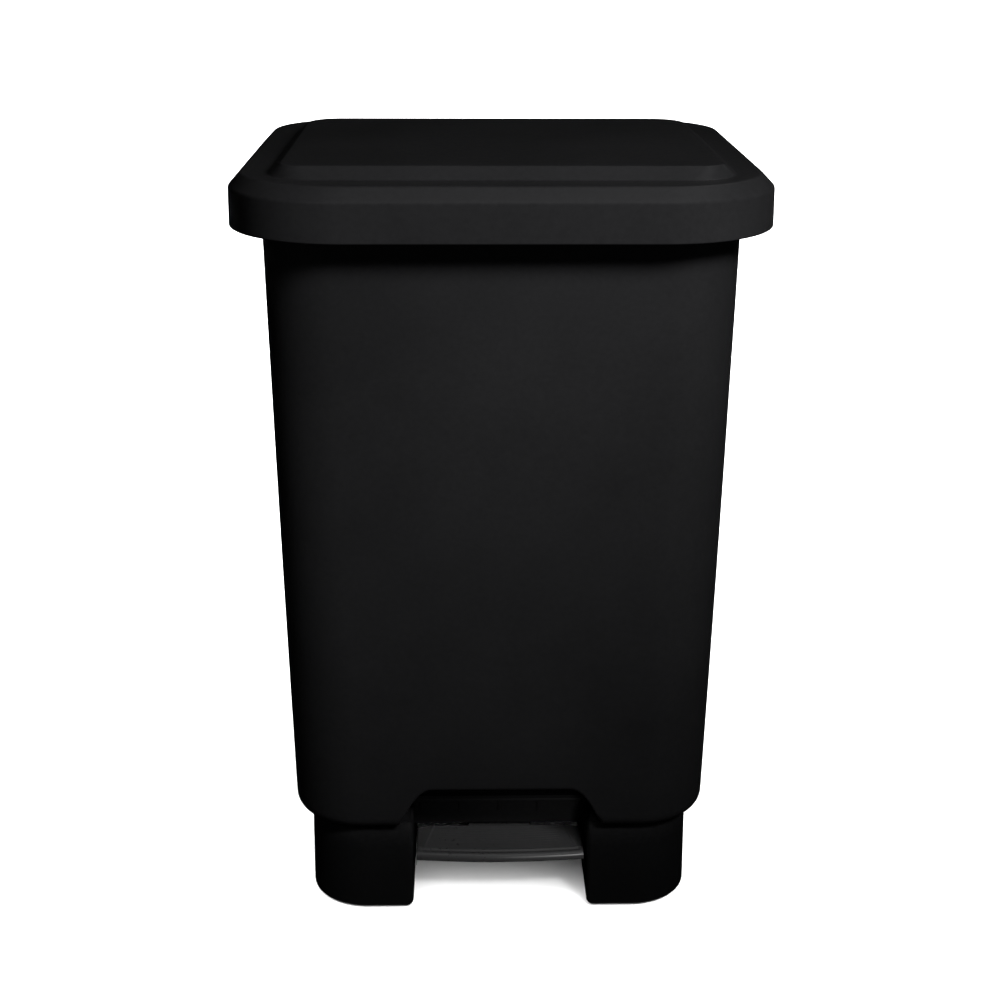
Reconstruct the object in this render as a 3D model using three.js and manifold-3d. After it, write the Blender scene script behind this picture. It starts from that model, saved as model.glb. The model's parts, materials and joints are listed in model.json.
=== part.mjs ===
// A pedal trash can: a tapered tub on a footed base, a hinged lid, and a foot pedal that lifts the lid
// through a long lever under the tub and a wire rod up its back.
// Millimetres, +Z up. The front faces -Y and the origin is on the floor under the middle of the can.
import * as THREE from 'three';
import { mergeVertices } from 'three/addons/utils/BufferGeometryUtils.js';
import Module from 'manifold-3d';

const wasm = await Module();
wasm.setup();

// ---------------------------------------------------------------- driving dimensions

const seatGap = 0.3;            // between pieces that rest on or are fastened to each other
const runningGap = 0.3;         // radial, between a pin or rod and the bore that turns on it
const sweepGap = 1;             // between a swinging piece and the walls that it passes
const cutMargin = 5;            // how far a cutting tool runs past what it cuts
const overlap = 1;              // how far joined shapes reach into each other

// Lid
const lidWidth = 420;
const lidDepth = 420;
const lidCornerRadius = 84;
const lidSkirtDraft = 0.5;      // the skirt's top is this much inside its bottom, on each side
const lidSkirtDrop = 19.2;      // how far the skirt hangs below the tub's rim
const lidEdgeRadius = 13;       // rounding between the skirt and the ledge
const lidLedgeRise = 20.5;      // the ledge's height above the tub's rim
const lidWall = 2.5;
const panelRise = 10.5;         // the raised panel's height above the ledge
const panelFrontMargin = 46;    // from the lid's outline to the raised panel's top edge
const panelSideMargin = 44;
const panelRearMargin = 86;
const panelBevel = 11.5;        // how far the panel's sloping side runs out, in plan
const panelCornerRadius = 22;
const panelTopEase = 1.5;       // the panel's top edge is eased by this much
const panelFootRise = 0.5;      // the ledge climbs this much to the panel's foot
const lidRibThickness = 2;
const lidRibDepth = 8;
const lidRibSpacing = 90;

// Tub
const lidOverhangSide = 25.5;   // from the tub's top outline out to the lid's
const lidOverhangEnds = 28;
const tubTaperSide = 8;         // the tub's bottom is this much inside its top
const tubTaperEnds = 9.5;
const tubCornerRadius = 58;
const tubHeight = 525.5;
const tubBottomZ = 83.5;
const tubBottomEdgeRadius = 11;
const tubWall = 2.5;
const tubFloor = 3;
const rimFlangeWidth = 12;      // the rim turned outwards, at the front and the sides
const rimFlangeRearWidth = 4;   // narrower at the back, where the lid's skirt swings past
const rimFlangeThickness = 3;
const rimLipHeight = 11;
const rimLipThickness = 2.5;

// Toe recess over the pedal, in the tub's lower front
const recessHeight = 35;        // above the tub's bottom
const recessTopHalfWidth = 58;
const recessBottomHalfWidth = 86;
const recessCornerRun = 16.5;   // how far the recess's rounded upper corners reach sideways
const recessCornerDrop = 6.5;
const recessCornerFullness = 4; // how far in from a corner's end its curve is still level
const recessDepth = 60.5;       // from the tub's bottom front back to the recess's wall

// Base
const baseInsetSide = 12.75;    // from the tub's bottom outline in to the base's top
const baseInsetEnds = 12.5;
const baseFlareSide = 0.75;     // the base's foot is this much outside its top
const baseFlareEnds = 3;
const baseCornerRadius = 50;
const baseWall = 3;
const baseBottomZ = 1;
const baseEdgeRadius = 3;
const footGapHalfWidth = 75;    // between the two front feet, where the pedal stands
const footInnerRadius = 7;
const footLength = 68;          // along Y, the sole of each foot
const footSoleThickness = 8;
const sideArchHeight = 9;       // the skirt is lifted between the feet
const ribWallBottomZ = 57;      // wall that hangs from the deck behind the pedal, over its arm
const ribLedgeHeight = 3.2;     // sloping ledge along the wall's top
const ribLedgeProud = 2.5;      // how far it stands out at its lower edge
const ribHeight = 10;           // short ribs under the ledge
const ribPitch = 34.5;
const ribWidth = 2;
const ribProud = 2.2;

// Foot pads
const padRadius = 12;
const padThickness = 2.7;
const padInsetSide = 42;        // from the base's foot in to the middle of a pad
const padInsetEnds = 43;

// Screws that hold the base to the tub
const baseScrewInsetSide = 49.5; // from the base's top outline in to a screw
const baseScrewInsetEnds = 100;
const baseScrewRadius = 2;
const baseScrewLength = 14;
const screwHeadRatio = 2.2;     // a pan head's radius over its shank's
const baseScrewHeadHeight = 2.8;
const bossRadius = 6;

// Lid hinge
const hingeDrop = 9;            // the hinge axis is this far below the tub's rim
const hingeInset = 15;          // from the lid's rear outline to the hinge axis
const hingePinRadius = 2.5;
const hingeEarRadius = 6.5;
const hingeCentreX = 95;        // each hinge has one lid ear between two tub ears
const lidEarWidth = 10;
const tubEarWidth = 5.5;
const pinHeadRadius = 4.5;
const pinHeadLength = 2;
const pinTipLength = 1;         // a pin's tip shows this much past the last ear
const lidOpenDegrees = 75;
const lidOpenAngle = THREE.MathUtils.degToRad(lidOpenDegrees);

// Lift rod and its channel
const rodInset = 12.5;          // from the tub's bottom rear in to the rod
const rodX = -9;                // the upright run of the rod; its hooks point to +X
const rodRadius = 2.25;
const rodBendRadius = 6;
const rodHookEndX = 6.5;
const channelHalfWidth = 18;
const guideHeight = 8;
const guideHeights = [146.5, 346.5]; // the guides' middles above the tub's bottom
const guidePlay = 1.2;          // room for the rod's small swing, beyond its running gap
const guideWall = 3;
const clipThickness = 1.5;
const rodClipRadius = 5.5;
const coverHalfWidth = 27;
const coverThickness = 2.5;
const coverTongueDepth = 4;
const coverBottomRise = 24.5;   // above the tub's bottom
const coverTopDrop = 43;        // below the tub's rim

// Crank under the lid
const crankThickness = 5;
const crankRim = 4.5;           // material around the slot
const crankSlotPlay = 2.4;      // the rod's hook strays this little from the crank's arc
const crankFlangeThickness = 3.2;
const crankFlangeHalfWidth = 17.5;
const crankBossHeight = 8;
const crankScrewX = 12;
const crankScrewReach = 27;     // from the hinge axis forward to the crank's screws
const crankScrewRadius = 1.75;
const crankScrewLength = 9;
const crankScrewHeadHeight = 2.5;

// Pedal lever
const axleSetback = 122.5;      // from the tub's bottom front back to the axle
const axleZ = 36;
const axleRadius = 4;
const axleOverhang = 3.5;       // past the clip at each end
const axleBossRadius = 9;
const axleBossLength = 6;
const axleClipRadius = 8;
const leverHubRadius = 8.5;
const leverHubSideGap = 2;
const leverHalfWidth = 28;
const leverWall = 3;
const leverHeight = 19;
const leverNeckDrop = 14;       // the arm's underside where it leaves the treadle, below the treadle's top
const treadLap = 4;             // how far the arm runs in under the treadle
const leverTongueRadius = 5;
const leverTongueThickness = 5;
const leverTongueLength = 18;
const treadSideGap = 2.5;
const treadSetback = 13.5;      // from the tub's bottom front back to the treadle's front
const treadDepth = 38;
const treadBow = 3.5;           // the front edge is this much ahead of its ends
const treadFrontZ = 49.5;
const treadRise = 6;            // from the treadle's front up to its back
const treadLipHeight = 6.5;
const treadWall = 3.2;
const treadSkirtHeight = 12;

// Lid bumpers
const bumperX = 110;
const bumperRadius = 4;

// ---------------------------------------------------------------- sizes that follow

const tubTopWidth = lidWidth - 2 * lidOverhangSide;
const tubTopDepth = lidDepth - 2 * lidOverhangEnds;
const tubBottomWidth = tubTopWidth - 2 * tubTaperSide;
const tubBottomDepth = tubTopDepth - 2 * tubTaperEnds;
const tubBottomFrontY = -tubBottomDepth / 2;
const baseTopWidth = tubBottomWidth - 2 * baseInsetSide;
const baseTopDepth = tubBottomDepth - 2 * baseInsetEnds;
const baseBottomWidth = baseTopWidth + 2 * baseFlareSide;
const baseBottomDepth = baseTopDepth + 2 * baseFlareEnds;
const padX = baseBottomWidth / 2 - padInsetSide;
const padY = baseBottomDepth / 2 - padInsetEnds;
const baseScrewX = baseTopWidth / 2 - baseScrewInsetSide;
const baseScrewY = baseTopDepth / 2 - baseScrewInsetEnds;
const recessBackY = tubBottomFrontY + recessDepth;
const axleY = tubBottomFrontY + axleSetback;
const treadFrontY = tubBottomFrontY + treadSetback;
const treadBackY = treadFrontY + treadDepth;
const rodY = tubBottomDepth / 2 - rodInset;
const hingeY = lidDepth / 2 - hingeInset;
const tubRimZ = tubBottomZ + tubHeight;
const hingeZ = tubRimZ - hingeDrop;
const lidBottomZ = tubRimZ - lidSkirtDrop;
const lidLedgeZ = tubRimZ + lidLedgeRise;
const panelTopZ = lidLedgeZ + panelRise;
const recessTopZ = tubBottomZ + recessHeight;
const coverBottomZ = tubBottomZ + coverBottomRise;
const coverTopZ = tubRimZ - coverTopDrop;
const treadBackZ = treadFrontZ + treadRise;
const crankScrewY = hingeY - crankScrewReach;
const crankRest = lidOpenAngle / 2;                       // the crank hangs this far below level
const crankRadius = (hingeY - rodY) / Math.cos(crankRest);
const crankDrop = crankRadius * Math.sin(crankRest);
const rodTopZ = hingeZ - crankDrop;
const leverReach = rodY - axleY;
const leverRest = Math.atan2(crankDrop, leverReach);      // the lever's back end hangs as far
const rodBottomZ = axleZ - crankDrop;
const rodSwing = Math.hypot(leverReach, crankDrop) - leverReach;
const crankExcursion = crankRadius - (hingeY - rodY) + rodSwing; // the slot's length, for the crank's arc
const slotHalfWidth = rodRadius + crankSlotPlay;
const channelFrontY = hingeY - crankRadius - slotHalfWidth - crankRim - sweepGap;
const treadHalfWidth = footGapHalfWidth - treadSideGap;
const deckTopZ = tubBottomZ - seatGap;
const deckBottomZ = deckTopZ - baseWall;
const lidUndersideZ = lidLedgeZ - lidWall;
const rodBumpY = rodY + rodSwing + leverTongueRadius + sweepGap; // inside of the base's rod housing
const axleClipX = footGapHalfWidth + baseWall + axleBossLength + seatGap;
const bossBottomZ = lidUndersideZ - crankBossHeight;      // the lid's screw bosses end here
const crankFlangeZ = bossBottomZ - seatGap - crankFlangeThickness;
const gapCutY = recessBackY - ribLedgeProud - sweepGap;        // the deck starts behind this

// How far the tub's outline has drawn in at height z, as a share of its whole taper.
const tubShare = (z) => (z - tubBottomZ) / (tubRimZ - tubBottomZ);
const tubWidthAt = (z) => THREE.MathUtils.lerp(tubBottomWidth, tubTopWidth, tubShare(z));
const tubDepthAt = (z) => THREE.MathUtils.lerp(tubBottomDepth, tubTopDepth, tubShare(z));

// ---------------------------------------------------------------- materials

const plastic = (color, roughness) => new THREE.MeshStandardMaterial({ color, roughness, metalness: 0 });
const blackShell = plastic(0x1b1b1c, 0.5);
const blackLid = plastic(0x1d1d1e, 0.42);
const blackBase = plastic(0x151516, 0.55);
const blackPedal = plastic(0x1c1c1d, 0.35);
const blackRubber = plastic(0x101010, 0.85);
const steel = new THREE.MeshStandardMaterial({ color: 0xa9abad, roughness: 0.35, metalness: 1 });

// ---------------------------------------------------------------- solids

const cornerSteps = 9;
const roundSegments = 24;

function solid(geometry) {
  geometry.deleteAttribute('normal');
  geometry.deleteAttribute('uv');
  const merged = mergeVertices(geometry, 1e-4);
  return new wasm.Manifold(new wasm.Mesh({
    numProp: 3,
    vertProperties: merged.attributes.position.array,
    triVerts: Uint32Array.from(merged.index.array),
  }));
}

// A closed skin over rings of points, each ring counter-clockwise about the direction of travel.
function skin(rings) {
  const count = rings[0].length;
  const positions = rings.flat().flatMap((point) => [point.x, point.y, point.z]);
  const index = [];
  const last = (rings.length - 1) * count;
  for (let ring = 0; ring < last; ring += count) {
    for (let i = 0; i < count; i += 1) {
      const next = (i + 1) % count;
      index.push(ring + i, ring + next, ring + count + next);
      index.push(ring + i, ring + count + next, ring + count + i);
    }
  }
  for (let i = 1; i < count - 1; i += 1) {
    index.push(0, i + 1, i);
    index.push(last, last + i, last + i + 1);
  }
  const geometry = new THREE.BufferGeometry();
  geometry.setAttribute('position', new THREE.Float32BufferAttribute(positions, 3));
  geometry.setIndex(index);
  return solid(geometry);
}

// A rounded rectangle at height z, pulled in by inset on every side and centred on y.
function ring({ width, depth, radius, z, inset = 0, y = 0 }) {
  const halfWidth = width / 2 - inset;
  const halfDepth = depth / 2 - inset;
  const r = Math.max(radius - inset, 1);
  const points = [];
  for (let corner = 0; corner < 4; corner += 1) {
    const signX = corner === 0 || corner === 3 ? 1 : -1;
    const signY = corner < 2 ? 1 : -1;
    for (let step = 0; step <= cornerSteps; step += 1) {
      const angle = ((corner + step / cornerSteps) * Math.PI) / 2;
      points.push(new THREE.Vector3(
        signX * (halfWidth - r) + r * Math.cos(angle),
        y + signY * (halfDepth - r) + r * Math.sin(angle),
        z,
      ));
    }
  }
  return points;
}

// Angles of a quarter turn, from 0 to 90 degrees, in equal steps.
const quarter = (steps) => Array.from({ length: steps + 1 }, (_, i) => (i / steps) * (Math.PI / 2));

function box(x0, x1, y0, y1, z0, z1) {
  const geometry = new THREE.BoxGeometry(x1 - x0, y1 - y0, z1 - z0);
  geometry.translate((x0 + x1) / 2, (y0 + y1) / 2, (z0 + z1) / 2);
  return solid(geometry);
}

function cylinderZ(radius, x, y, z0, z1) {
  const geometry = new THREE.CylinderGeometry(radius, radius, z1 - z0, roundSegments);
  geometry.rotateX(Math.PI / 2);
  geometry.translate(x, y, (z0 + z1) / 2);
  return solid(geometry);
}

function cylinderX(radius, x0, x1, y, z) {
  const geometry = new THREE.CylinderGeometry(radius, radius, x1 - x0, roundSegments);
  geometry.rotateZ(Math.PI / 2);
  geometry.translate((x0 + x1) / 2, y, z);
  return solid(geometry);
}

function extrude(shape, depth) {
  return new THREE.ExtrudeGeometry(shape, { depth, bevelEnabled: false, curveSegments: 12 });
}

const shapeOf = (points) => new THREE.Shape(points.map(([u, v]) => new THREE.Vector2(u, v)));

// A side view outline (y, z) carried from x0 to x1.
function prismX(shape, x0, x1) {
  const geometry = extrude(shape, x1 - x0);
  const axes = [new THREE.Vector3(0, 1, 0), new THREE.Vector3(0, 0, 1), new THREE.Vector3(1, 0, 0)];
  geometry.applyMatrix4(new THREE.Matrix4().makeBasis(...axes));
  geometry.translate(x0, 0, 0);
  return solid(geometry);
}

// A front view outline (x, z) carried from y0 to y1.
function prismY(shape, y0, y1) {
  const geometry = extrude(shape, y1 - y0);
  const axes = [new THREE.Vector3(1, 0, 0), new THREE.Vector3(0, 0, 1), new THREE.Vector3(0, -1, 0)];
  geometry.applyMatrix4(new THREE.Matrix4().makeBasis(...axes));
  geometry.translate(0, y1, 0);
  return solid(geometry);
}

function join(...solids) {
  return solids.reduce((whole, next) => whole.add(next));
}

// Makes something at each of the four corners (x, y), (-x, y), (x, -y) and (-x, -y).
const fourCorners = (x, y, make) => [[x, y], [-x, y], [x, -y], [-x, -y]].map(([u, v]) => make(u, v));
const bothSides = (make) => [make(1), make(-1)];

// The span from inner to outer on the side of the given sign, in rising order.
const span = (side, inner, outer) => (side > 0 ? [inner, outer] : [-outer, -inner]);

// ---------------------------------------------------------------- tub

// The tub's outline as a solid, pulled in by inset, with a rounded bottom edge.
function tubSolid(inset, bottomZ, topZ) {
  const edge = tubBottomEdgeRadius - inset;
  const at = (z, extra) => ring({
    width: tubWidthAt(z), depth: tubDepthAt(z), radius: tubCornerRadius, z, inset: inset + extra,
  });
  const rounded = quarter(4).map((a) => at(bottomZ + edge * (1 - Math.cos(a)), edge * (1 - Math.sin(a))));
  return skin([...rounded, at(topZ, 0)]);
}

// The toe recess seen from the front, grown by a wall's thickness where asked.
function recessShape(grow) {
  const top = recessTopZ + grow;
  const topHalf = recessTopHalfWidth + grow;
  const shoulder = topHalf + recessCornerRun;
  const bottomHalf = recessBottomHalfWidth + grow;
  const bottom = tubBottomZ - cutMargin;
  const shape = new THREE.Shape();
  shape.moveTo(-bottomHalf, bottom);
  shape.lineTo(bottomHalf, bottom);
  shape.lineTo(shoulder, top - recessCornerDrop);
  shape.quadraticCurveTo(shoulder - recessCornerFullness, top, topHalf, top);
  shape.lineTo(-topHalf, top);
  shape.quadraticCurveTo(-shoulder + recessCornerFullness, top, -shoulder, top - recessCornerDrop);
  shape.closePath();
  return shape;
}

function rimFlange() {
  const width = tubTopWidth + 2 * rimFlangeWidth;
  const depth = tubTopDepth + rimFlangeWidth + rimFlangeRearWidth;
  const y = (rimFlangeRearWidth - rimFlangeWidth) / 2;
  const radius = tubCornerRadius + rimFlangeRearWidth;
  const lipZ = tubRimZ - rimLipHeight;
  const outside = skin([lipZ, tubRimZ].map((z) => ring({ width, depth, radius, z, y })));
  const hollowDepth = tubTopDepth + rimFlangeWidth - rimLipThickness;
  const hollow = skin([lipZ - cutMargin, tubRimZ - rimFlangeThickness].map((z) => ring({
    width: width - 2 * rimLipThickness,
    depth: hollowDepth,
    radius,
    z,
    y: (tubTopDepth - hollowDepth) / 2,
  })));
  return outside.subtract(hollow);
}

// One ear of a hinge: a round eye on the hinge axis with a web of the same width.
function tubEar(x0, x1) {
  const wallY = tubDepthAt(hingeZ) / 2;
  const eye = cylinderX(hingeEarRadius, x0, x1, hingeY, hingeZ);
  const web = box(x0, x1, wallY - tubWall / 2, hingeY, hingeZ - hingeEarRadius, hingeZ + hingeEarRadius);
  return join(eye, web);
}

function tubEars() {
  const inner = hingeCentreX - lidEarWidth / 2 - seatGap;
  const outer = hingeCentreX + lidEarWidth / 2 + seatGap;
  return join(...bothSides((side) => join(
    tubEar(...span(side, inner - tubEarWidth, inner)),
    tubEar(...span(side, outer, outer + tubEarWidth)),
  )));
}

function hingeBore() {
  const reach = hingeCentreX + lidEarWidth + tubEarWidth + cutMargin;
  return cylinderX(hingePinRadius + runningGap, -reach, reach, hingeY, hingeZ);
}

function tub() {
  const outside = tubSolid(0, tubBottomZ, tubRimZ);
  const hollow = tubSolid(tubWall, tubBottomZ + tubFloor, tubRimZ + cutMargin);
  const front = -tubTopDepth / 2 - rimFlangeWidth;
  const back = tubTopDepth / 2 + rimFlangeRearWidth + cutMargin;
  const recessWall = prismY(recessShape(tubWall), front, recessBackY + tubWall);
  const channelHalf = channelHalfWidth + tubWall;
  const channelWall = box(-channelHalf, channelHalf, channelFrontY - tubWall, back, tubBottomZ, tubRimZ);
  const bossTop = tubBottomZ + baseScrewLength + tubFloor;
  const bosses = fourCorners(baseScrewX, baseScrewY, (x, y) => (
    cylinderZ(bossRadius, x, y, tubBottomZ, bossTop)
  ));
  const lined = join(recessWall, channelWall, ...bosses).intersect(outside);
  const below = tubBottomZ - cutMargin;
  const above = tubRimZ + cutMargin;
  const holeTop = tubBottomZ + baseScrewLength;
  const holeRadius = baseScrewRadius + runningGap;
  const cuts = [
    prismY(recessShape(0), front - cutMargin, recessBackY),
    box(-channelHalfWidth, channelHalfWidth, channelFrontY, back, below, above),
    ...fourCorners(baseScrewX, baseScrewY, (x, y) => cylinderZ(holeRadius, x, y, below, holeTop)),
    hingeBore(),
  ];
  const flange = rimFlange().subtract(tubSolid(tubWall / 2, tubBottomZ, tubRimZ + cutMargin));
  return join(outside.subtract(hollow), lined, flange, tubEars()).subtract(join(...cuts));
}

// ---------------------------------------------------------------- lid

// The lid's outline as a solid, pulled in by a wall's thickness, from the skirt up to the raised panel.
function lidSolid(wall, bottomZ) {
  const edge = lidEdgeRadius - wall;
  const ledge = lidLedgeZ - wall;
  const at = (z, inset) => ring({
    width: lidWidth, depth: lidDepth, radius: lidCornerRadius, z, inset: inset + wall,
  });
  const skirtTop = lidSkirtDraft;
  const rounded = quarter(5).map((a) => at(
    ledge - edge * (1 - Math.sin(a)), skirtTop + edge * (1 - Math.cos(a)),
  ));
  const panelAt = (z, grow) => ring({
    width: lidWidth - 2 * panelSideMargin,
    depth: lidDepth - panelFrontMargin - panelRearMargin,
    radius: panelCornerRadius + grow,
    z,
    inset: wall - grow,
    y: (panelFrontMargin - panelRearMargin) / 2,
  });
  const top = panelTopZ - wall;
  return skin([
    at(bottomZ, 0),
    ...rounded,
    panelAt(ledge + panelFootRise, panelBevel),
    panelAt(top - panelTopEase, panelTopEase),
    panelAt(top, 0),
  ]);
}

function lidRibs() {
  const halfWidth = lidWidth / 2 - panelSideMargin;
  const front = panelFrontMargin - lidDepth / 2;
  const back = lidDepth / 2 - panelRearMargin;
  const top = panelTopZ - lidWall / 2;
  const bottom = panelTopZ - lidWall - lidRibDepth;
  const half = lidRibThickness / 2;
  const ribs = [];
  for (let x = -lidRibSpacing; x <= lidRibSpacing; x += lidRibSpacing) {
    ribs.push(box(x - half, x + half, front, back, bottom, top));
  }
  const middle = (front + back) / 2;
  for (let y = middle - lidRibSpacing; y <= middle + lidRibSpacing; y += lidRibSpacing) {
    ribs.push(box(-halfWidth, halfWidth, y - half, y + half, bottom, top));
  }
  return join(...ribs);
}

function lidEars() {
  const top = lidLedgeZ - lidWall / 2;
  return join(...bothSides((side) => {
    const [x0, x1] = span(side, hingeCentreX - lidEarWidth / 2, hingeCentreX + lidEarWidth / 2);
    const eye = cylinderX(hingeEarRadius, x0, x1, hingeY, hingeZ);
    const web = box(x0, x1, hingeY - hingeEarRadius, hingeY + hingeEarRadius, hingeZ, top);
    return join(eye, web);
  }));
}

function lid() {
  const outside = lidSolid(0, lidBottomZ);
  const hollow = lidSolid(lidWall, lidBottomZ - cutMargin);
  const bossTop = lidLedgeZ - lidWall / 2;
  const bosses = bothSides((side) => (
    cylinderZ(crankScrewRadius + lidWall, side * crankScrewX, crankScrewY, bossBottomZ, bossTop)
  ));
  const holes = bothSides((side) => cylinderZ(
    crankScrewRadius + runningGap, side * crankScrewX, crankScrewY, bossBottomZ - overlap, lidUndersideZ,
  ));
  const inside = join(lidRibs(), lidEars(), ...bosses).intersect(outside);
  return join(outside.subtract(hollow), inside).subtract(join(hingeBore(), ...holes));
}

function bumper() {
  return cylinderZ(bumperRadius, 0, 0, tubRimZ + seatGap, lidUndersideZ - seatGap);
}

// ---------------------------------------------------------------- crank

// A point on the crank at the given radius from the hinge, with the lid shut.
const crankPoint = (radius) => [
  hingeY - radius * Math.cos(crankRest),
  hingeZ - radius * Math.sin(crankRest),
];

function crank() {
  const flangeTop = crankFlangeZ + crankFlangeThickness;
  const outer = crankPoint(crankRadius);
  const inner = crankPoint(crankRadius - crankExcursion);
  const eye = slotHalfWidth + crankRim;
  const plateFront = outer[0] - eye;
  const plateBack = hingeY - hingeEarRadius - sweepGap;
  const plate = prismX(shapeOf([
    [plateFront, flangeTop - overlap], [plateFront, outer[1]], [inner[0] + eye, inner[1]],
    [plateBack, flangeTop - overlap],
  ]), -crankThickness / 2, crankThickness / 2);
  const capsule = (radius, halfWidth) => join(
    cylinderX(radius, -halfWidth, halfWidth, ...outer),
    cylinderX(radius, -halfWidth, halfWidth, ...inner),
    prismX(capsuleSides(outer, inner, radius), -halfWidth, halfWidth),
  );
  const half = crankFlangeHalfWidth;
  const flange = box(-half, half, plateFront, plateBack, crankFlangeZ, flangeTop);
  const holeRadius = crankScrewRadius + runningGap;
  const holes = bothSides((side) => cylinderZ(
    holeRadius, side * crankScrewX, crankScrewY, crankFlangeZ - overlap, flangeTop + overlap,
  ));
  const blank = join(plate, capsule(eye, crankThickness / 2), flange);
  return blank.subtract(join(capsule(slotHalfWidth, crankThickness), ...holes));
}

// The straight middle of a capsule between two points, as a side view outline.
function capsuleSides(from, to, radius) {
  const along = new THREE.Vector2(to[0] - from[0], to[1] - from[1]).normalize().multiplyScalar(radius);
  return shapeOf([
    [from[0] + along.y, from[1] - along.x], [to[0] + along.y, to[1] - along.x],
    [to[0] - along.y, to[1] + along.x], [from[0] - along.y, from[1] + along.x],
  ]);
}

// A pan-head screw pointing up, with the top of its head at z = 0 and its middle on the Z axis.
function screw(radius, length, headHeight) {
  return join(
    cylinderZ(radius * screwHeadRatio, 0, 0, -headHeight, 0),
    cylinderZ(radius, 0, 0, -headHeight / 2, length),
  );
}

// ---------------------------------------------------------------- base

function baseSolid(inset, bottomZ, topZ) {
  const at = (z, extra) => {
    const share = (z - baseBottomZ) / (deckTopZ - baseBottomZ);
    return ring({
      width: THREE.MathUtils.lerp(baseBottomWidth, baseTopWidth, share),
      depth: THREE.MathUtils.lerp(baseBottomDepth, baseTopDepth, share),
      radius: baseCornerRadius,
      z,
      inset: inset + extra,
    });
  };
  return skin([at(bottomZ, baseEdgeRadius / 2), at(bottomZ + baseEdgeRadius, 0), at(topZ, 0)]);
}

// The gap between the front feet, seen from the front: upright sides that flare out at the floor.
function footGapShape() {
  const half = footGapHalfWidth;
  const shape = new THREE.Shape();
  const flare = half + footInnerRadius;
  shape.moveTo(flare, baseBottomZ - cutMargin);
  shape.lineTo(flare, baseBottomZ);
  shape.quadraticCurveTo(half, baseBottomZ, half, baseBottomZ + footInnerRadius);
  shape.lineTo(half, deckTopZ + cutMargin);
  shape.lineTo(-half, deckTopZ + cutMargin);
  shape.lineTo(-half, baseBottomZ + footInnerRadius);
  shape.quadraticCurveTo(-half, baseBottomZ, -flare, baseBottomZ);
  shape.lineTo(-flare, baseBottomZ - cutMargin);
  shape.closePath();
  return shape;
}

// The space under the skirt between two feet, with sloping ends.
function archShape(halfSpan) {
  const bottom = baseBottomZ - cutMargin;
  const top = baseBottomZ + sideArchHeight;
  const slope = top - bottom;
  return shapeOf([
    [-halfSpan - slope, bottom], [halfSpan + slope, bottom], [halfSpan, top], [-halfSpan, top],
  ]);
}

// The wall behind the pedal, with a sloping ledge along its top and short ribs under the ledge.
function ribWall() {
  const top = deckTopZ - baseWall / 2;
  const back = recessBackY + baseWall;
  const half = footGapHalfWidth + baseWall / 2;
  const ledgeBottom = deckBottomZ - ribLedgeHeight;
  const ledge = prismX(shapeOf([
    [back, ledgeBottom], [back, deckBottomZ + overlap], [recessBackY, deckBottomZ + overlap],
    [recessBackY - ribLedgeProud, ledgeBottom],
  ]), -half, half);
  const parts = [box(-half, half, recessBackY, back, ribWallBottomZ, top), ledge];
  const count = Math.floor((footGapHalfWidth - ribWidth) / ribPitch);
  for (let i = -count; i <= count; i += 1) {
    const x = i * ribPitch;
    parts.push(box(
      x - ribWidth / 2, x + ribWidth / 2, recessBackY - ribProud, recessBackY + overlap,
      ledgeBottom - ribHeight, ledgeBottom + overlap,
    ));
  }
  return join(...parts);
}

function base() {
  const outside = baseSolid(0, baseBottomZ, deckTopZ);
  const hollow = baseSolid(baseWall, baseBottomZ - cutMargin, deckBottomZ);
  const halfWidth = baseBottomWidth / 2;
  const halfDepth = baseBottomDepth / 2;
  const soleTop = baseBottomZ + footSoleThickness;
  const soles = bothSides((side) => join(...[-1, 1].map((end) => box(
    ...span(side, footGapHalfWidth, halfWidth),
    ...span(end, halfDepth - footLength, halfDepth),
    baseBottomZ, soleTop,
  ))));
  const bossOuter = footGapHalfWidth + baseWall + axleBossLength;
  const cheeks = bothSides((side) => join(
    box(
      ...span(side, footGapHalfWidth, footGapHalfWidth + baseWall),
      -halfDepth, halfDepth, baseBottomZ, deckTopZ,
    ),
    cylinderX(axleBossRadius, ...span(side, footGapHalfWidth, bossOuter), axleY, axleZ),
  ));
  const housingHalf = channelHalfWidth + baseWall;
  const housingFront = baseTopDepth / 2 - baseWall - overlap;
  const housing = box(-housingHalf, housingHalf, housingFront, rodBumpY + baseWall, baseBottomZ, deckTopZ);
  const archHalf = halfDepth - footLength;
  const padTop = padThickness + seatGap;
  const cuts = [
    prismY(footGapShape(), -halfDepth - cutMargin, gapCutY),
    prismX(archShape(archHalf), -halfWidth - cutMargin, halfWidth + cutMargin),
    prismY(archShape(archHalf), 0, rodBumpY + baseWall + cutMargin),
    box(
      -channelHalfWidth, channelHalfWidth, housingFront - cutMargin, rodBumpY,
      -cutMargin, deckTopZ + cutMargin,
    ),
    ...fourCorners(padX, padY, (x, y) => cylinderZ(padRadius + seatGap, x, y, -cutMargin, padTop)),
    ...fourCorners(baseScrewX, baseScrewY, (x, y) => cylinderZ(
      baseScrewRadius + runningGap, x, y, deckBottomZ - overlap, deckTopZ + overlap,
    )),
    cylinderX(axleRadius + runningGap, -bossOuter - overlap, bossOuter + overlap, axleY, axleZ),
  ];
  const inside = join(...soles, ...cheeks, ribWall()).intersect(outside);
  return join(outside.subtract(hollow), inside, housing).subtract(join(...cuts));
}

function footPad() {
  return cylinderZ(padRadius, 0, 0, 0, padThickness);
}

// ---------------------------------------------------------------- pedal

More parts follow.
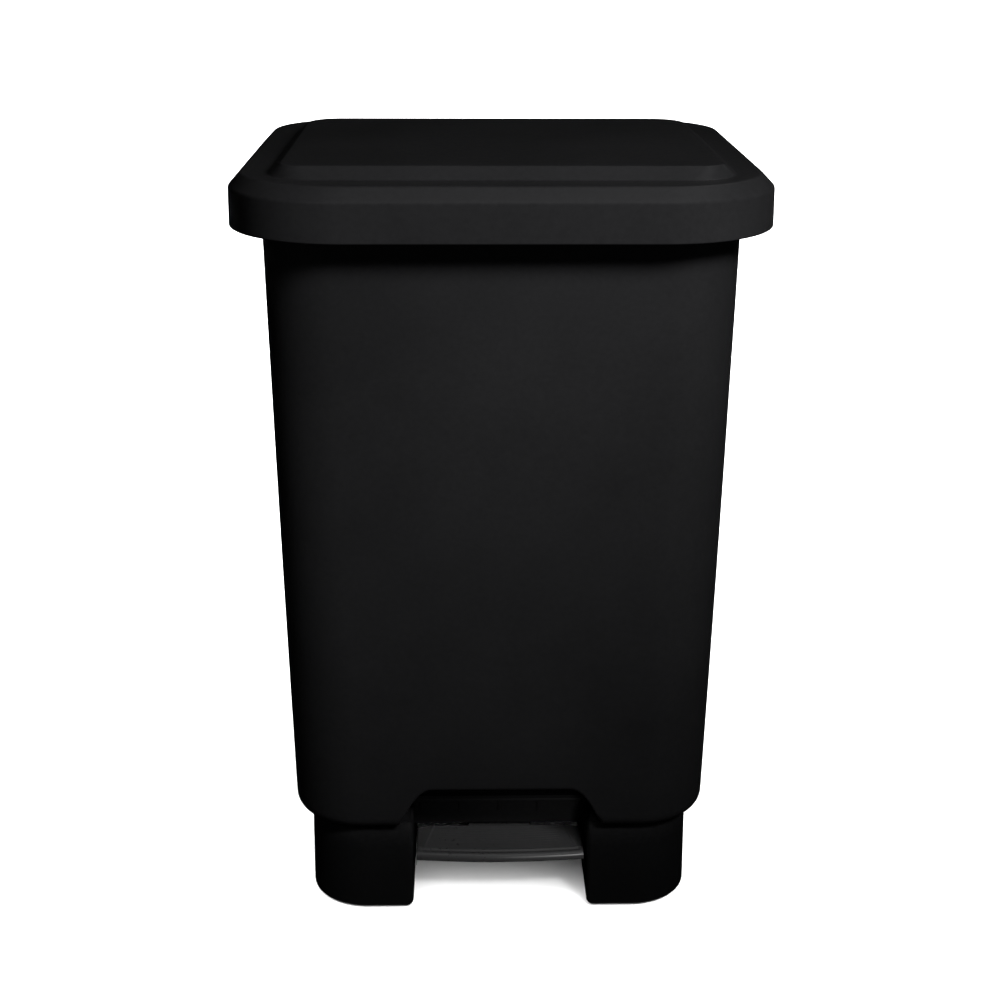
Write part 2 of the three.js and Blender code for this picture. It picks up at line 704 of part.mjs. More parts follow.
// The treadle's plan: straight sides and back, and a front edge that bows forward.
function treadPlan(inset) {
  const half = treadHalfWidth - inset;
  const ends = treadFrontY + treadBow + inset;
  const back = treadBackY - inset;
  const shape = new THREE.Shape();
  shape.moveTo(-half, back);
  shape.lineTo(-half, ends);
  shape.quadraticCurveTo(0, ends - 2 * treadBow, half, ends);
  shape.lineTo(half, back);
  shape.closePath();
  const geometry = extrude(shape, treadBackZ + cutMargin);
  return solid(geometry);
}

function tread() {
  const slope = (treadBackZ - treadFrontZ) / (treadBackY - treadFrontY);
  const topAt = (y) => treadFrontZ + slope * (y - treadFrontY);
  const front = treadFrontY - cutMargin;
  const back = treadBackY + cutMargin;
  const lipBottom = treadFrontZ - treadLipHeight;
  const side = (drop, bottomDrop) => shapeOf([
    [front, lipBottom - bottomDrop], [treadFrontY + treadSkirtHeight, lipBottom - bottomDrop],
    [back, topAt(back) - treadSkirtHeight - bottomDrop], [back, topAt(back) - drop],
    [front, topAt(front) - drop],
  ]);
  const half = treadHalfWidth;
  const block = prismX(side(0, 0), -half, half).intersect(treadPlan(0));
  const under = prismX(side(treadWall, cutMargin), -half, half).intersect(treadPlan(treadWall));
  return block.subtract(under);
}

// The lever's side view: from under the treadle, over the axle, back to the rod.
function leverShape(drop, bottomDrop) {
  const treadEnd = treadBackY - treadLap;
  const tail = rodY - leverTongueLength;
  const treadTop = treadBackZ - overlap - drop;
  const hubTop = axleZ + leverHeight / 2 - drop;
  const tailTop = rodBottomZ + leverHeight / 2 - drop;
  const tailBottom = rodBottomZ - leverTongueRadius - bottomDrop;
  return shapeOf([
    [treadEnd, treadTop - leverNeckDrop - bottomDrop], [axleY, axleZ - leverHeight / 2 - bottomDrop],
    [tail, tailBottom], [tail, tailTop], [axleY, hubTop], [treadEnd, treadTop],
  ]);
}

function pedalLever() {
  const half = leverHalfWidth;
  const arm = prismX(leverShape(0, 0), -half, half);
  const armHollow = prismX(leverShape(leverWall, cutMargin), -half + leverWall, half - leverWall);
  const hubHalf = footGapHalfWidth - leverHubSideGap;
  const hub = cylinderX(leverHubRadius, -hubHalf, hubHalf, axleY, axleZ);
  const tongueHalf = leverTongueThickness / 2;
  const tail = rodY - leverTongueLength;
  const tongue = join(
    box(
      -tongueHalf, tongueHalf, tail - overlap, rodY,
      rodBottomZ - leverTongueRadius, rodBottomZ + leverTongueRadius,
    ),
    cylinderX(leverTongueRadius, -tongueHalf, tongueHalf, rodY, rodBottomZ),
  );
  const tailPlate = box(
    -half, half, tail - leverWall, tail, rodBottomZ - leverTongueRadius, rodBottomZ + leverHeight / 2,
  );
  const holes = join(
    cylinderX(axleRadius + runningGap, -hubHalf - overlap, hubHalf + overlap, axleY, axleZ),
    cylinderX(rodRadius + runningGap, -tongueHalf - overlap, tongueHalf + overlap, rodY, rodBottomZ),
  );
  return join(tread(), arm.subtract(armHollow), hub, tailPlate, tongue).subtract(holes);
}

function pedalAxle() {
  const half = axleClipX + clipThickness + axleOverhang;
  return cylinderX(axleRadius, -half, half, axleY, axleZ);
}

// A flat ring pushed onto a pin along X: its inner face is at x0.
function clip(outerRadius, pinRadius, x0, x1, y, z) {
  const blank = cylinderX(outerRadius, x0, x1, y, z);
  return blank.subtract(cylinderX(pinRadius + runningGap, x0 - overlap, x1 + overlap, y, z));
}

// ---------------------------------------------------------------- rod

// Round wire along a path in an upright plane facing Y.
function wire(path, radius) {
  const across = new THREE.Vector3(0, 1, 0);
  const sides = 12;
  return skin(path.map((point, i) => {
    const before = path[Math.max(i - 1, 0)];
    const after = path[Math.min(i + 1, path.length - 1)];
    const tangent = after.clone().sub(before).normalize();
    const other = tangent.clone().cross(across);
    return Array.from({ length: sides }, (_, k) => {
      const angle = (k / sides) * 2 * Math.PI;
      return point.clone()
        .addScaledVector(across, radius * Math.cos(angle))
        .addScaledVector(other, radius * Math.sin(angle));
    });
  }));
}

function liftRod() {
  const bend = rodBendRadius;
  const at = (x, z) => new THREE.Vector3(x, rodY, z);
  const centreX = rodX + bend;
  const lower = quarter(6).map((a) => (
    at(centreX - bend * Math.sin(a), rodBottomZ + bend * (1 - Math.cos(a)))
  ));
  const upper = quarter(6).map((a) => (
    at(centreX - bend * Math.cos(a), rodTopZ - bend * (1 - Math.sin(a)))
  ));
  return wire([at(rodHookEndX, rodBottomZ), ...lower, ...upper, at(rodHookEndX, rodTopZ)], rodRadius);
}

function rodGuide(level) {
  const half = channelHalfWidth - seatGap;
  const front = channelFrontY + seatGap;
  const back = rodY + rodSwing + rodRadius + runningGap + guidePlay + guideWall;
  const slot = rodRadius + runningGap + guidePlay / 2;
  const plate = box(-half, half, front, back, level - guideHeight / 2, level + guideHeight / 2);
  const hole = box(
    rodX - slot, rodX + slot, rodY - slot, rodY + rodSwing + slot, level - guideHeight, level + guideHeight,
  );
  return plate.subtract(hole);
}

function rearCover() {
  const wallAt = (z) => tubDepthAt(z) / 2;
  const strip = (inner, outer) => shapeOf([
    [wallAt(coverBottomZ) + inner, coverBottomZ], [wallAt(coverBottomZ) + outer, coverBottomZ],
    [wallAt(coverTopZ) + outer, coverTopZ], [wallAt(coverTopZ) + inner, coverTopZ],
  ]);
  const plate = prismX(strip(seatGap, seatGap + coverThickness), -coverHalfWidth, coverHalfWidth);
  const tongueHalf = channelHalfWidth - seatGap;
  const tongues = bothSides((side) => prismX(
    strip(-coverTongueDepth, seatGap + coverThickness / 2),
    ...span(side, tongueHalf - coverThickness, tongueHalf),
  ));
  return join(plate, ...tongues);
}

function hingePin(side) {
  const inner = hingeCentreX - lidEarWidth / 2 - seatGap - tubEarWidth - pinTipLength;
  const outer = hingeCentreX + lidEarWidth / 2 + seatGap + tubEarWidth + seatGap;
  return join(
    cylinderX(hingePinRadius, ...span(side, inner, outer + pinHeadLength), hingeY, hingeZ),
    cylinderX(pinHeadRadius, ...span(side, outer, outer + pinHeadLength), hingeY, hingeZ),
  );
}

// ---------------------------------------------------------------- assembly

function piece(name, shape, material, x = 0, y = 0, z = 0) {
  const { vertProperties, triVerts } = shape.getMesh();
  const geometry = new THREE.BufferGeometry();
  geometry.setAttribute('position', new THREE.Float32BufferAttribute(vertProperties, 3));
  geometry.setIndex(Array.from(triVerts));
  const mesh = new THREE.Mesh(geometry, material);
  mesh.name = name;
  mesh.position.set(x, y, z);
  return mesh;
}

const can = new THREE.Group();
const fixed = new THREE.Group();
const lidGroup = new THREE.Group();
const pedalGroup = new THREE.Group();
const rodGroup = new THREE.Group();
can.add(fixed, lidGroup, pedalGroup, rodGroup);

const cornerNames = ['rear_right', 'rear_left', 'front_right', 'front_left'];
const sideNames = ['right', 'left'];

fixed.add(piece('tub', tub(), blackShell));
fixed.add(piece('base_frame', base(), blackBase));
fixed.add(piece('rear_cover', rearCover(), blackShell));
fourCorners(padX, padY, (x, y) => [x, y]).forEach(([x, y], i) => {
  fixed.add(piece(`foot_pad_${cornerNames[i]}`, footPad(), blackRubber, x, y, 0));
});
fourCorners(baseScrewX, baseScrewY, (x, y) => [x, y]).forEach(([x, y], i) => {
  const shape = screw(baseScrewRadius, baseScrewLength - 1, baseScrewHeadHeight);
  fixed.add(piece(`base_screw_${cornerNames[i]}`, shape, steel, x, y, deckBottomZ - seatGap));
});
guideHeights.forEach((height, i) => {
  fixed.add(piece(`rod_guide_${['lower', 'upper'][i]}`, rodGuide(tubBottomZ + height), blackBase));
});
fixed.add(piece('pedal_axle', pedalAxle(), steel));
[1, -1].forEach((side, i) => {
  const [x0, x1] = span(side, axleClipX, axleClipX + clipThickness);
  const ring = clip(axleClipRadius, axleRadius, x0, x1, axleY, axleZ);
  fixed.add(piece(`axle_clip_${sideNames[i]}`, ring, steel));
  fixed.add(piece(`hinge_pin_${sideNames[i]}`, hingePin(side), steel));
});

lidGroup.add(piece('lid', lid(), blackLid));
lidGroup.add(piece('lift_crank', crank(), blackBase));
const bumperY = -(tubTopDepth + rimFlangeWidth) / 2;
[1, -1].forEach((side, i) => {
  const shape = screw(crankScrewRadius, crankScrewLength, crankScrewHeadHeight);
  const x = side * crankScrewX;
  const z = crankFlangeZ - seatGap;
  lidGroup.add(piece(`crank_screw_${sideNames[i]}`, shape, steel, x, crankScrewY, z));
  lidGroup.add(piece(`lid_bumper_${sideNames[i]}`, bumper(), blackRubber, side * bumperX, bumperY, 0));
});

pedalGroup.add(piece('pedal_lever', pedalLever(), blackPedal));

rodGroup.add(piece('lift_rod', liftRod(), steel));
const rodEnds = [['lower', leverTongueThickness, rodBottomZ], ['upper', crankThickness, rodTopZ]];
rodEnds.forEach(([end, plate, z]) => {
  const x0 = plate / 2 + seatGap;
  const ring = clip(rodClipRadius, rodRadius, x0, x0 + clipThickness, rodY, z);
  rodGroup.add(piece(`rod_clip_${end}`, ring, steel));
});

export default can;
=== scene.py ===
"""Looks of the pedal trash can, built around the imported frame.

Lengths are in millimetres until a mesh is made, and metres from there on. The front faces -Y.
"""
import json
import math
import bpy
import numpy as np
from mathutils import Euler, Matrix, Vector

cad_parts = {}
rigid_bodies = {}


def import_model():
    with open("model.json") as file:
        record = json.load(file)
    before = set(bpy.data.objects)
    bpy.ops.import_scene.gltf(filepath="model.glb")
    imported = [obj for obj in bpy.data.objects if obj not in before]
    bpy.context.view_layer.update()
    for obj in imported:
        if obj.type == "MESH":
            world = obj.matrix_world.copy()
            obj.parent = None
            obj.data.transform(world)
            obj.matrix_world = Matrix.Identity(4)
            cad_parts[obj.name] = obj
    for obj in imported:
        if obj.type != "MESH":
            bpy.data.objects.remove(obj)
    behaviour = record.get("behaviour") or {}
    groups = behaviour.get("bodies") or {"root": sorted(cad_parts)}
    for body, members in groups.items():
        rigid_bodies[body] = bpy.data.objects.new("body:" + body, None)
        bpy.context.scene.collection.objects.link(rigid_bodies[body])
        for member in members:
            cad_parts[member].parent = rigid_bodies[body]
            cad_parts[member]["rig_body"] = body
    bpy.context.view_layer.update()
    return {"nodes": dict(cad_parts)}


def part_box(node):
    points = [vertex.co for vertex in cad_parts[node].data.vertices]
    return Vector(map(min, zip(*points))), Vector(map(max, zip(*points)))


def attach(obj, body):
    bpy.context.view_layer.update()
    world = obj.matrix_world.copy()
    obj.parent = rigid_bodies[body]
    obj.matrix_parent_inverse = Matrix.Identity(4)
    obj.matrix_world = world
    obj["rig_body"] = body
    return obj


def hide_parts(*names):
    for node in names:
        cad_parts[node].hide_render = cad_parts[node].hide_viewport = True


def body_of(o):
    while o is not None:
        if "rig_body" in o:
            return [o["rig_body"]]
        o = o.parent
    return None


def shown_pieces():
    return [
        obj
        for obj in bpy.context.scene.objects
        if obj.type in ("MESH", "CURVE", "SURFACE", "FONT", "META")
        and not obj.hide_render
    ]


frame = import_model()

MM = 0.001
FACE_GAP = 0.03              # millimetres that keep two flat faces from lying in one plane


def node_box(node):
    """The lowest and highest corners of a frame node, in millimetres."""
    low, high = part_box(node)
    return np.array(low) / MM, np.array(high) / MM


lid_low, lid_high = node_box("lid")
tub_low, tub_high = node_box("tub")
base_low, base_high = node_box("base_frame")
pedal_low, pedal_high = node_box("pedal_lever")
axle_low, axle_high = node_box("pedal_axle")
pin_low, pin_high = node_box("hinge_pin_right")
rod_low, rod_high = node_box("lift_rod")

hinge_y = (pin_low[1] + pin_high[1]) / 2
hinge_z = (pin_low[2] + pin_high[2]) / 2
axle_y = (axle_low[1] + axle_high[1]) / 2
axle_z = (axle_low[2] + axle_high[2]) / 2
rod_y = (rod_low[1] + rod_high[1]) / 2
hook_z = rod_low[2] + (rod_high[1] - rod_low[1]) / 2

# Lid
LID_CORNER_FRONT = 92.0      # corner radii seen from above
LID_CORNER_REAR = 84.0
LID_DRAFT = 0.5              # how far the skirt leans in over its height
LID_HEM = 1.2                # rounding of the skirt's lower edge
LID_EDGE = 10.5              # size of the sloping edge between the skirt and the ledge
LID_EDGE_ROUND = 4.0         # radius where that edge meets the skirt and the ledge
LID_WALL = 2.5
LEDGE_DROP = 9.8             # from the raised panel's top down to the ledge
LEDGE_RISE = 0.3             # how much the ledge climbs on its way to the panel
LEDGE_BLEND = 5.0            # distance from the panel's slope where the ledge takes its outline
PANEL_SIDE = 44.0            # from the lid's side to the top of the raised panel
PANEL_FRONT = 46.0
PANEL_REAR = 86.0
PANEL_BEVEL = 11.5           # how far the slope round the panel runs out
PANEL_CORNER_FRONT = 16.0
PANEL_CORNER_REAR = 28.0
PANEL_FOOT_ROUND = 4.0       # radius where the slope meets the ledge
PANEL_CREST_ROUND = 3.0      # radius where the slope meets the panel's top
PANEL_CROWN = 0.2            # how much the panel's top swells up in its middle
LID_RIB_DEPTH = 8.0          # below the lid's underside
LID_RIB_HALF = 1.0
LID_RIB_PITCH = 90.0
CRANK_BOSS = (12.0, 168.0)   # x, on both sides, and y of the bosses for the crank's screws
CRANK_BOSS_RADIUS = 4.25
CRANK_BOSS_BORE = 2.1
CRANK_BOSS_LENGTH = 9.1

# Tub
TUB_TOP = (369.0, 364.0)     # width and depth
TUB_BOTTOM = (353.0, 345.0)
TUB_BOW = 0.7                # how far the tub's sides swell out half way up
TUB_CORNER = 58.0
TUB_EDGE = 11.0              # rounding of the bottom edge
TUB_WALL = 2.5
TUB_FLOOR = 3.0
LIP_OUT = 9.5                # how far the rim reaches out from the wall
LIP_REAR_SHARE = 0.16        # how much of that is left at the back
LIP_ROUND = 1.5
LIP_DROP = 8.0               # how far the lip hangs down from the rim
FLANGE_Z = 606.0             # height of the rim's top
SCREW_BOSS = (112.0, 60.0)   # x and y, on both sides, of the bosses for the base's screws
SCREW_BOSS_RADIUS = 6.0
SCREW_BOSS_TOP = 16.9        # above the tub's bottom
SCREW_BOSS_EDGE = 0.8

# Toe recess: slanting sides under a level top
RECESS_TOP = 120.6           # height of its level top
RECESS_BACK = -112.0         # y of the wall at its end
RECESS_EDGE = 3.5            # rounding of its edge
RECESS_EDGE_RUN = 14.0       # height over which the bottom edge's rounding comes down to that
RECESS_SIDE_X = 74.5         # where a side is RECESS_SIDE_LIFT above the tub's bottom
RECESS_SIDE_LIFT = 28.5
RECESS_SLANT = 2.478         # rise of a side for each millimetre towards the middle
RECESS_FOOT_ROUND = 3.0
RECESS_TOP_ROUND = 32.0
RECESS_WALL_HALF = 92.0

# Rod's channel in the tub's back
CHANNEL_HALF = 18.0
CHANNEL_FRONT = 141.1        # y of its inner wall
CHANNEL_ROUND = 1.5

# Hinge: each pair of numbers is an ear's near and far side
HINGE_BORE = 2.8
EAR_RADIUS = 6.5
TUB_EARS = ((84.2, 89.7), (100.3, 105.8))
LID_EAR = (90.0, 100.0)
EAR_SINK = 1.2               # how far an ear's web goes into what carries it

# Base
BASE_BOTTOM = (329.0, 326.0)
BASE_TOP = (327.5, 320.0)
BASE_CORNER = 50.0
BASE_WALL = 3.0
BASE_EDGE = 3.0              # rounding of the bottom edge
FOOT_GAP = 75.0              # from the middle to a front foot's inner cheek
FOOT_INNER_EDGE = 7.0        # rounding of the cheek's bottom edge
FOOT_CORNER = 4.0            # radius from the cheek round to the foot's front
SOLE_INNER = (84.0, 95.5)    # x and y of each sole's inner edges
SOLE_TOP = 8.0
ARCH_HALF = 95.0
ARCH_HEIGHT = 9.0
HOUSING_HALF = 21.0          # of the rod's housing at the back
AXLE_BORE = 4.3
AXLE_BOSS = (2.0, 9.0)       # near and far side, outwards from the gap between the feet
AXLE_BOSS_RADIUS = 9.0

# Wall behind the treadle
WALL_BOTTOM = 54.0
WALL_THICKNESS = 2.8
LEDGE_OUT = 2.5              # how far the ledge stands out from the wall
LEDGE_LOW = 77.0             # height of the ledge's underside
RIB_PITCH = 34.5
RIB_LOW = 67.0               # height of the ribs' lower ends

# Treadle
TREAD_BACK = -116.5          # y of its back edge
TREAD_BOW = 3.5              # how far the middle of the front edge is ahead of its ends
TREAD_LIP = 6.5
TREAD_NOSE = 4.5             # rounding of its front edge
TREAD_FOLD = 2.0             # rounding of its other edges
TREAD_SKIRT = 12.0
TREAD_WALL = 2.6
TREAD_GROOVE = 1.3           # depth of the groove behind the front lip
TREAD_GROOVE_PLACE = 6.2     # its middle, behind the front edge
TREAD_GROOVE_WIDTH = 1.7
TREAD_DISH = 0.7             # depth of the field behind the groove
TREAD_FACET = 0.22           # fall for each millimetre beyond the field's ends
TREAD_RIB = 0.22
TREAD_RIB_PITCH = 3.0
TREAD_FRONT_Z = 49.5         # heights of its top at the front and the back edge
TREAD_BACK_Z = 55.9

# Lever
LEVER_HALF = 28.0
LEVER_WALL = 3.0
LEVER_ROUND = 2.5
LEVER_HEIGHT = 19.0
LEVER_END = -118.5           # y of its front end, under the treadle
HUB_RADIUS = 8.5
TONGUE_RADIUS = 5.0          # of the eye at the tail, round the rod's lower hook
TONGUE_BORE = 2.55
TONGUE_LENGTH = 18.0
TONGUE_HALF = 2.5


# ------------------------------------------------------------------ materials

def new_material(name):
    """An empty node material: its tree and its output node."""
    material = bpy.data.materials.new(name)
    material.use_nodes = True
    tree = material.node_tree
    tree.nodes.clear()
    output = tree.nodes.new("ShaderNodeOutputMaterial")
    return material, tree, output


def add_node(tree, kind, inputs=None, **settings):
    """A node with its settings and the values of its own sockets."""
    node = tree.nodes.new(kind)
    for key, value in settings.items():
        setattr(node, key, value)
    for key, value in (inputs or {}).items():
        node.inputs[key].default_value = value
    return node


def feed(tree, socket, value):
    """Gives a socket its value, which is another socket or a plain value."""
    if hasattr(value, "is_linked"):
        tree.links.new(value, socket)
    else:
        socket.default_value = value


def ramp(tree, source, low, high, low_value, high_value):
    """Maps source from low..high to the two values, held flat beyond them."""
    node = add_node(tree, "ShaderNodeMapRange", {
        "From Min": low, "From Max": high, "To Min": low_value, "To Max": high_value,
    })
    tree.links.new(source, node.inputs["Value"])
    return node.outputs["Result"]


def maths(tree, operation, first, second):
    """One sum of two values, each a socket or a number."""
    node = add_node(tree, "ShaderNodeMath", operation=operation)
    feed(tree, node.inputs[0], first)
    feed(tree, node.inputs[1], second)
    return node.outputs[0]


def mixed(tree, factor, first, second, blend="MIX"):
    """Two colours mixed, each a socket or a colour."""
    node = add_node(tree, "ShaderNodeMix", data_type="RGBA", blend_type=blend)
    feed(tree, node.inputs["Factor"], factor)
    feed(tree, node.inputs["A"], first)
    feed(tree, node.inputs["B"], second)
    return node.outputs["Result"]


def noise(tree, place, scale, detail, roughness=0.5):
    """Cloudy noise over the piece: scale is in clouds to the metre."""
    node = add_node(tree, "ShaderNodeTexNoise", {
        "Scale": scale, "Detail": detail, "Roughness": roughness,
    })
    tree.links.new(place.outputs["Object"], node.inputs["Vector"])
    return node.outputs["Fac"]


def bumped(tree, height, strength, distance, under=None):
    """The surface's direction bent by a height, on top of another bump where one is given."""
    node = add_node(tree, "ShaderNodeBump", {"Strength": strength, "Distance": distance})
    tree.links.new(height, node.inputs["Height"])
    if under is not None:
        tree.links.new(under, node.inputs["Normal"])
    return node.outputs["Normal"]


def glossy_surface(tree, output, colour, roughness, normal, values):
    """Ends a material in one shader, from its three sockets and its plain values."""
    shader = add_node(tree, "ShaderNodeBsdfPrincipled", values)
    tree.links.new(colour, shader.inputs["Base Color"])
    tree.links.new(roughness, shader.inputs["Roughness"])
    tree.links.new(normal, shader.inputs["Normal"])
    tree.links.new(shader.outputs["BSDF"], output.inputs["Surface"])


def moulded_plastic(name, colour, roughness, grain=0.25, level=0.35):
    """Injection-moulded plastic: fine spark-eroded grain, faint flow marks, rubbed edges.

    Cloudy noise and a speck shift the colour and roughness a little over the surface, a fine noise
    gives the grain, slow waves bend the shine, and edges that a hand or shoe meets are slightly
    smoother and lighter.
    """
    material, tree, output = new_material(name)
    place = add_node(tree, "ShaderNodeTexCoord")
    cloud = noise(tree, place, 9.0, 4.0, 0.55)
    speck = noise(tree, place, 260.0, 3.0, 0.6)
    fine = noise(tree, place, 1.0 / 0.00045, 2.0)
    slow = noise(tree, place, 7.0, 1.0)

    tone = ramp(tree, cloud, 0.3, 0.7, 0.9, 1.12)
    tone = maths(tree, "MULTIPLY", tone, ramp(tree, speck, 0.3, 0.7, 0.93, 1.08))
    grey = add_node(tree, "ShaderNodeCombineColor")
    for channel in ("Red", "Green", "Blue"):
        tree.links.new(tone, grey.inputs[channel])
    shade = mixed(tree, 1.0, (*colour, 1.0), grey.outputs[0], "MULTIPLY")

    corners = add_node(tree, "ShaderNodeNewGeometry")
    edge = ramp(tree, corners.outputs["Pointiness"], 0.5, 0.62, 0.0, 0.35)
    edge = maths(tree, "MULTIPLY", edge, ramp(tree, speck, 0.35, 0.65, 0.3, 1.0))
    rubbed = [min(1.0, channel * 2.2 + 0.002) for channel in colour]
    shade = mixed(tree, edge, shade, (*rubbed, 1.0))

    rough = ramp(tree, cloud, 0.3, 0.7, roughness - 0.03, roughness + 0.03)
    rough = maths(tree, "ADD", rough, ramp(tree, speck, 0.3, 0.7, -0.02, 0.02))
    rough = maths(tree, "SUBTRACT", rough, maths(tree, "MULTIPLY", edge, 0.12))

    grained = bumped(tree, fine, grain, 0.00003)
    waved = bumped(tree, slow, 0.25, 0.0002, grained)
    glossy_surface(tree, output, shade, rough, waved, {"Specular IOR Level": level, "IOR": 1.49})
    return material


def drawn_steel(name):
    """Zinc-plated steel wire and screws: cloudy and dulled, with a fine grain."""
    material, tree, output = new_material(name)
    place = add_node(tree, "ShaderNodeTexCoord")
    cloud = noise(tree, place, 60.0, 4.0)
    fine = noise(tree, place, 1500.0, 2.0)
    patches = ramp(tree, cloud, 0.35, 0.65, 0.0, 1.0)
    colour = mixed(tree, patches, (0.42, 0.43, 0.45, 1.0), (0.56, 0.57, 0.58, 1.0))
    rough = ramp(tree, cloud, 0.3, 0.7, 0.28, 0.42)
    grained = bumped(tree, fine, 0.2, 0.00002)
    glossy_surface(tree, output, colour, rough, grained, {"Metallic": 1.0})
    return material


# One finish for each material slot
FINISHES = {
    "tub_plastic": moulded_plastic("tub_plastic_black", (0.0105, 0.0105, 0.011), 0.46, level=0.15),
    "lid_plastic": moulded_plastic("lid_plastic_black", (0.0105, 0.0105, 0.011), 0.42, level=0.15),
    "base_plastic": moulded_plastic("base_plastic_black", (0.006, 0.006, 0.0063), 0.5, level=0.12),
    "pedal_plastic": moulded_plastic("pedal_plastic_black", (0.034, 0.034, 0.0345), 0.3, 0.12, 0.4),
    "rubber": moulded_plastic("rubber_black", (0.008, 0.008, 0.008), 0.75, 0.4, 0.25),
    "steel": drawn_steel("plated_steel"),
}


# ------------------------------------------------------------------ meshes

def smoothstep(low, high, value):
    """0 below low, 1 above high, with a level start and end between them."""
    share = np.clip((value - low) / (high - low), 0.0, 1.0)
    return share * share * (3.0 - 2.0 * share)


def soft_least(first, second, width):
    """The lesser of two values, rounded where they cross over that width."""
    gap = np.abs(first - second)
    dip = np.clip(width - gap, 0.0, None) ** 2 / (4.0 * width)
    return np.minimum(first, second) - dip


def points_of(x, y, z):
    """Points from their x, y and z, each an array or one number for all of them."""
    return np.stack(np.broadcast_arrays(x, y, z), axis=-1)


def mesh_object(name, points, faces, body, slot, smooth_angle=35.0):
    """A piece from points in millimetres, smooth except across edges sharper than smooth_angle."""
    mesh = bpy.data.meshes.new(name)
    mesh.from_pydata((points * MM).tolist(), [], faces)
    mesh.materials.append(FINISHES[slot])
    mesh.polygons.foreach_set("use_smooth", np.ones(len(mesh.polygons), dtype=bool))
    mesh.set_sharp_from_angle(angle=math.radians(smooth_angle))
    mesh.validate()
    piece = bpy.data.objects.new(name, mesh)
    bpy.context.scene.collection.objects.link(piece)
    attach(piece, body)
    return piece


def parts_piece(name, parts, body, slot, smooth_angle=35.0):
    """A piece made of several closed solids, each its points and its faces."""
    faces = []
    start = 0
    for part_points, part_faces in parts:
        faces.extend([[index + start for index in face] for face in part_faces])
        start += len(part_points)
    points = np.vstack([part_points for part_points, part_faces in parts])
    return mesh_object(name, points, faces, body, slot, smooth_angle)


def grid_faces(rows, columns, closed):
    """Quads of a grid of points laid out row by row; closed joins the last column to the first."""
    row = np.arange(rows - 1)[:, None] * columns
    spans = columns if closed else columns - 1
    here = np.arange(spans)[None, :]
    there = (here + 1) % columns
    quads = np.stack([row + here, row + there, row + columns + there, row + columns + here], axis=-1)
    return quads.reshape(-1, 4)


def fan(ring, tip):
    """Triangles from a closed ring of points to one point."""
    return [[a, b, tip] for a, b in zip(ring, np.roll(ring, -1))]


def arc(place, inset, radius, start, end, steps):
    """Stops round an edge, each a place along the surface and an inset from it.

    The angles are in degrees: 0 where the edge leaves the side, 90 where it lies flat.
    """
    turns = np.radians(np.linspace(start, end, steps))
    return [(place + radius * math.sin(a), inset + radius * (1 - math.cos(a))) for a in turns]


def grid_piece(name, rows, body, slot, flip, smooth_angle):
    """An open skin whose points are rows of equal length; flip turns its faces over."""
    faces = grid_faces(len(rows), len(rows[0]), False)
    if flip:
        faces = faces[:, ::-1]
    return mesh_object(name, np.concatenate(rows), faces.tolist(), body, slot, smooth_angle)


def thicken(piece, wall):
    """Gives an open skin its wall, grown to the inside of its faces."""
    solidify = piece.modifiers.new("wall", "SOLIDIFY")
    solidify.thickness = wall * MM
    solidify.offset = -1.0
    solidify.use_even_offset = True
    solidify.thickness_clamp = 2.0


def ease_edges(piece, width):
    """Rounds the sharp edges of a piece by a small bevel."""
    bevel = piece.modifiers.new("eased_edges", "BEVEL")
    bevel.width = width * MM
    bevel.segments = 2
    bevel.limit_method = "ANGLE"
    bevel.angle_limit = math.radians(40.0)


def prism(outline, axis, low, high):
    """Points and faces of a closed outline carried along axis (0 for X, 2 for Z) from low to high."""
    outline = np.asarray(outline, float)
    count = len(outline)
    ends = []
    for along in (low, high):
        column = np.full((count, 1), float(along))
        ends.append(np.hstack([column, outline] if axis == 0 else [outline, column]))
    here = np.arange(count)
    there = (here + 1) % count
    sides = np.stack([here, there, there + count, here + count], axis=-1).tolist()
    caps = [here[::-1].tolist(), (here + count).tolist()]
    return np.vstack(ends), sides + caps


def block(x0, x1, y0, y1, z0, z1):
    """A straight-sided block between two corners."""
    return prism([[x0, y0], [x1, y0], [x1, y1], [x0, y1]], 2, z0, z1)


def lathe(profile, centre, steps):
    """A closed solid turned round an upright axis from a profile of (radius, height), top first."""
    profile = np.asarray(profile, float)
    turn = np.linspace(0, 2 * math.pi, steps, endpoint=False)
    middle = profile[1:-1]
    ring = points_of(
        middle[:, 0:1] * np.cos(turn), middle[:, 0:1] * np.sin(turn), middle[:, 1:2],
    ).reshape(-1, 3)
    points = np.vstack([ring, [[0, 0, profile[0, 1]], [0, 0, profile[-1, 1]]]]) + np.asarray(centre)
    faces = grid_faces(len(middle), steps, True)[:, ::-1].tolist()
    first = np.arange(steps)
    last = first + len(ring) - steps
    return points, faces + fan(first, len(ring)) + fan(last[::-1], len(ring) + 1)


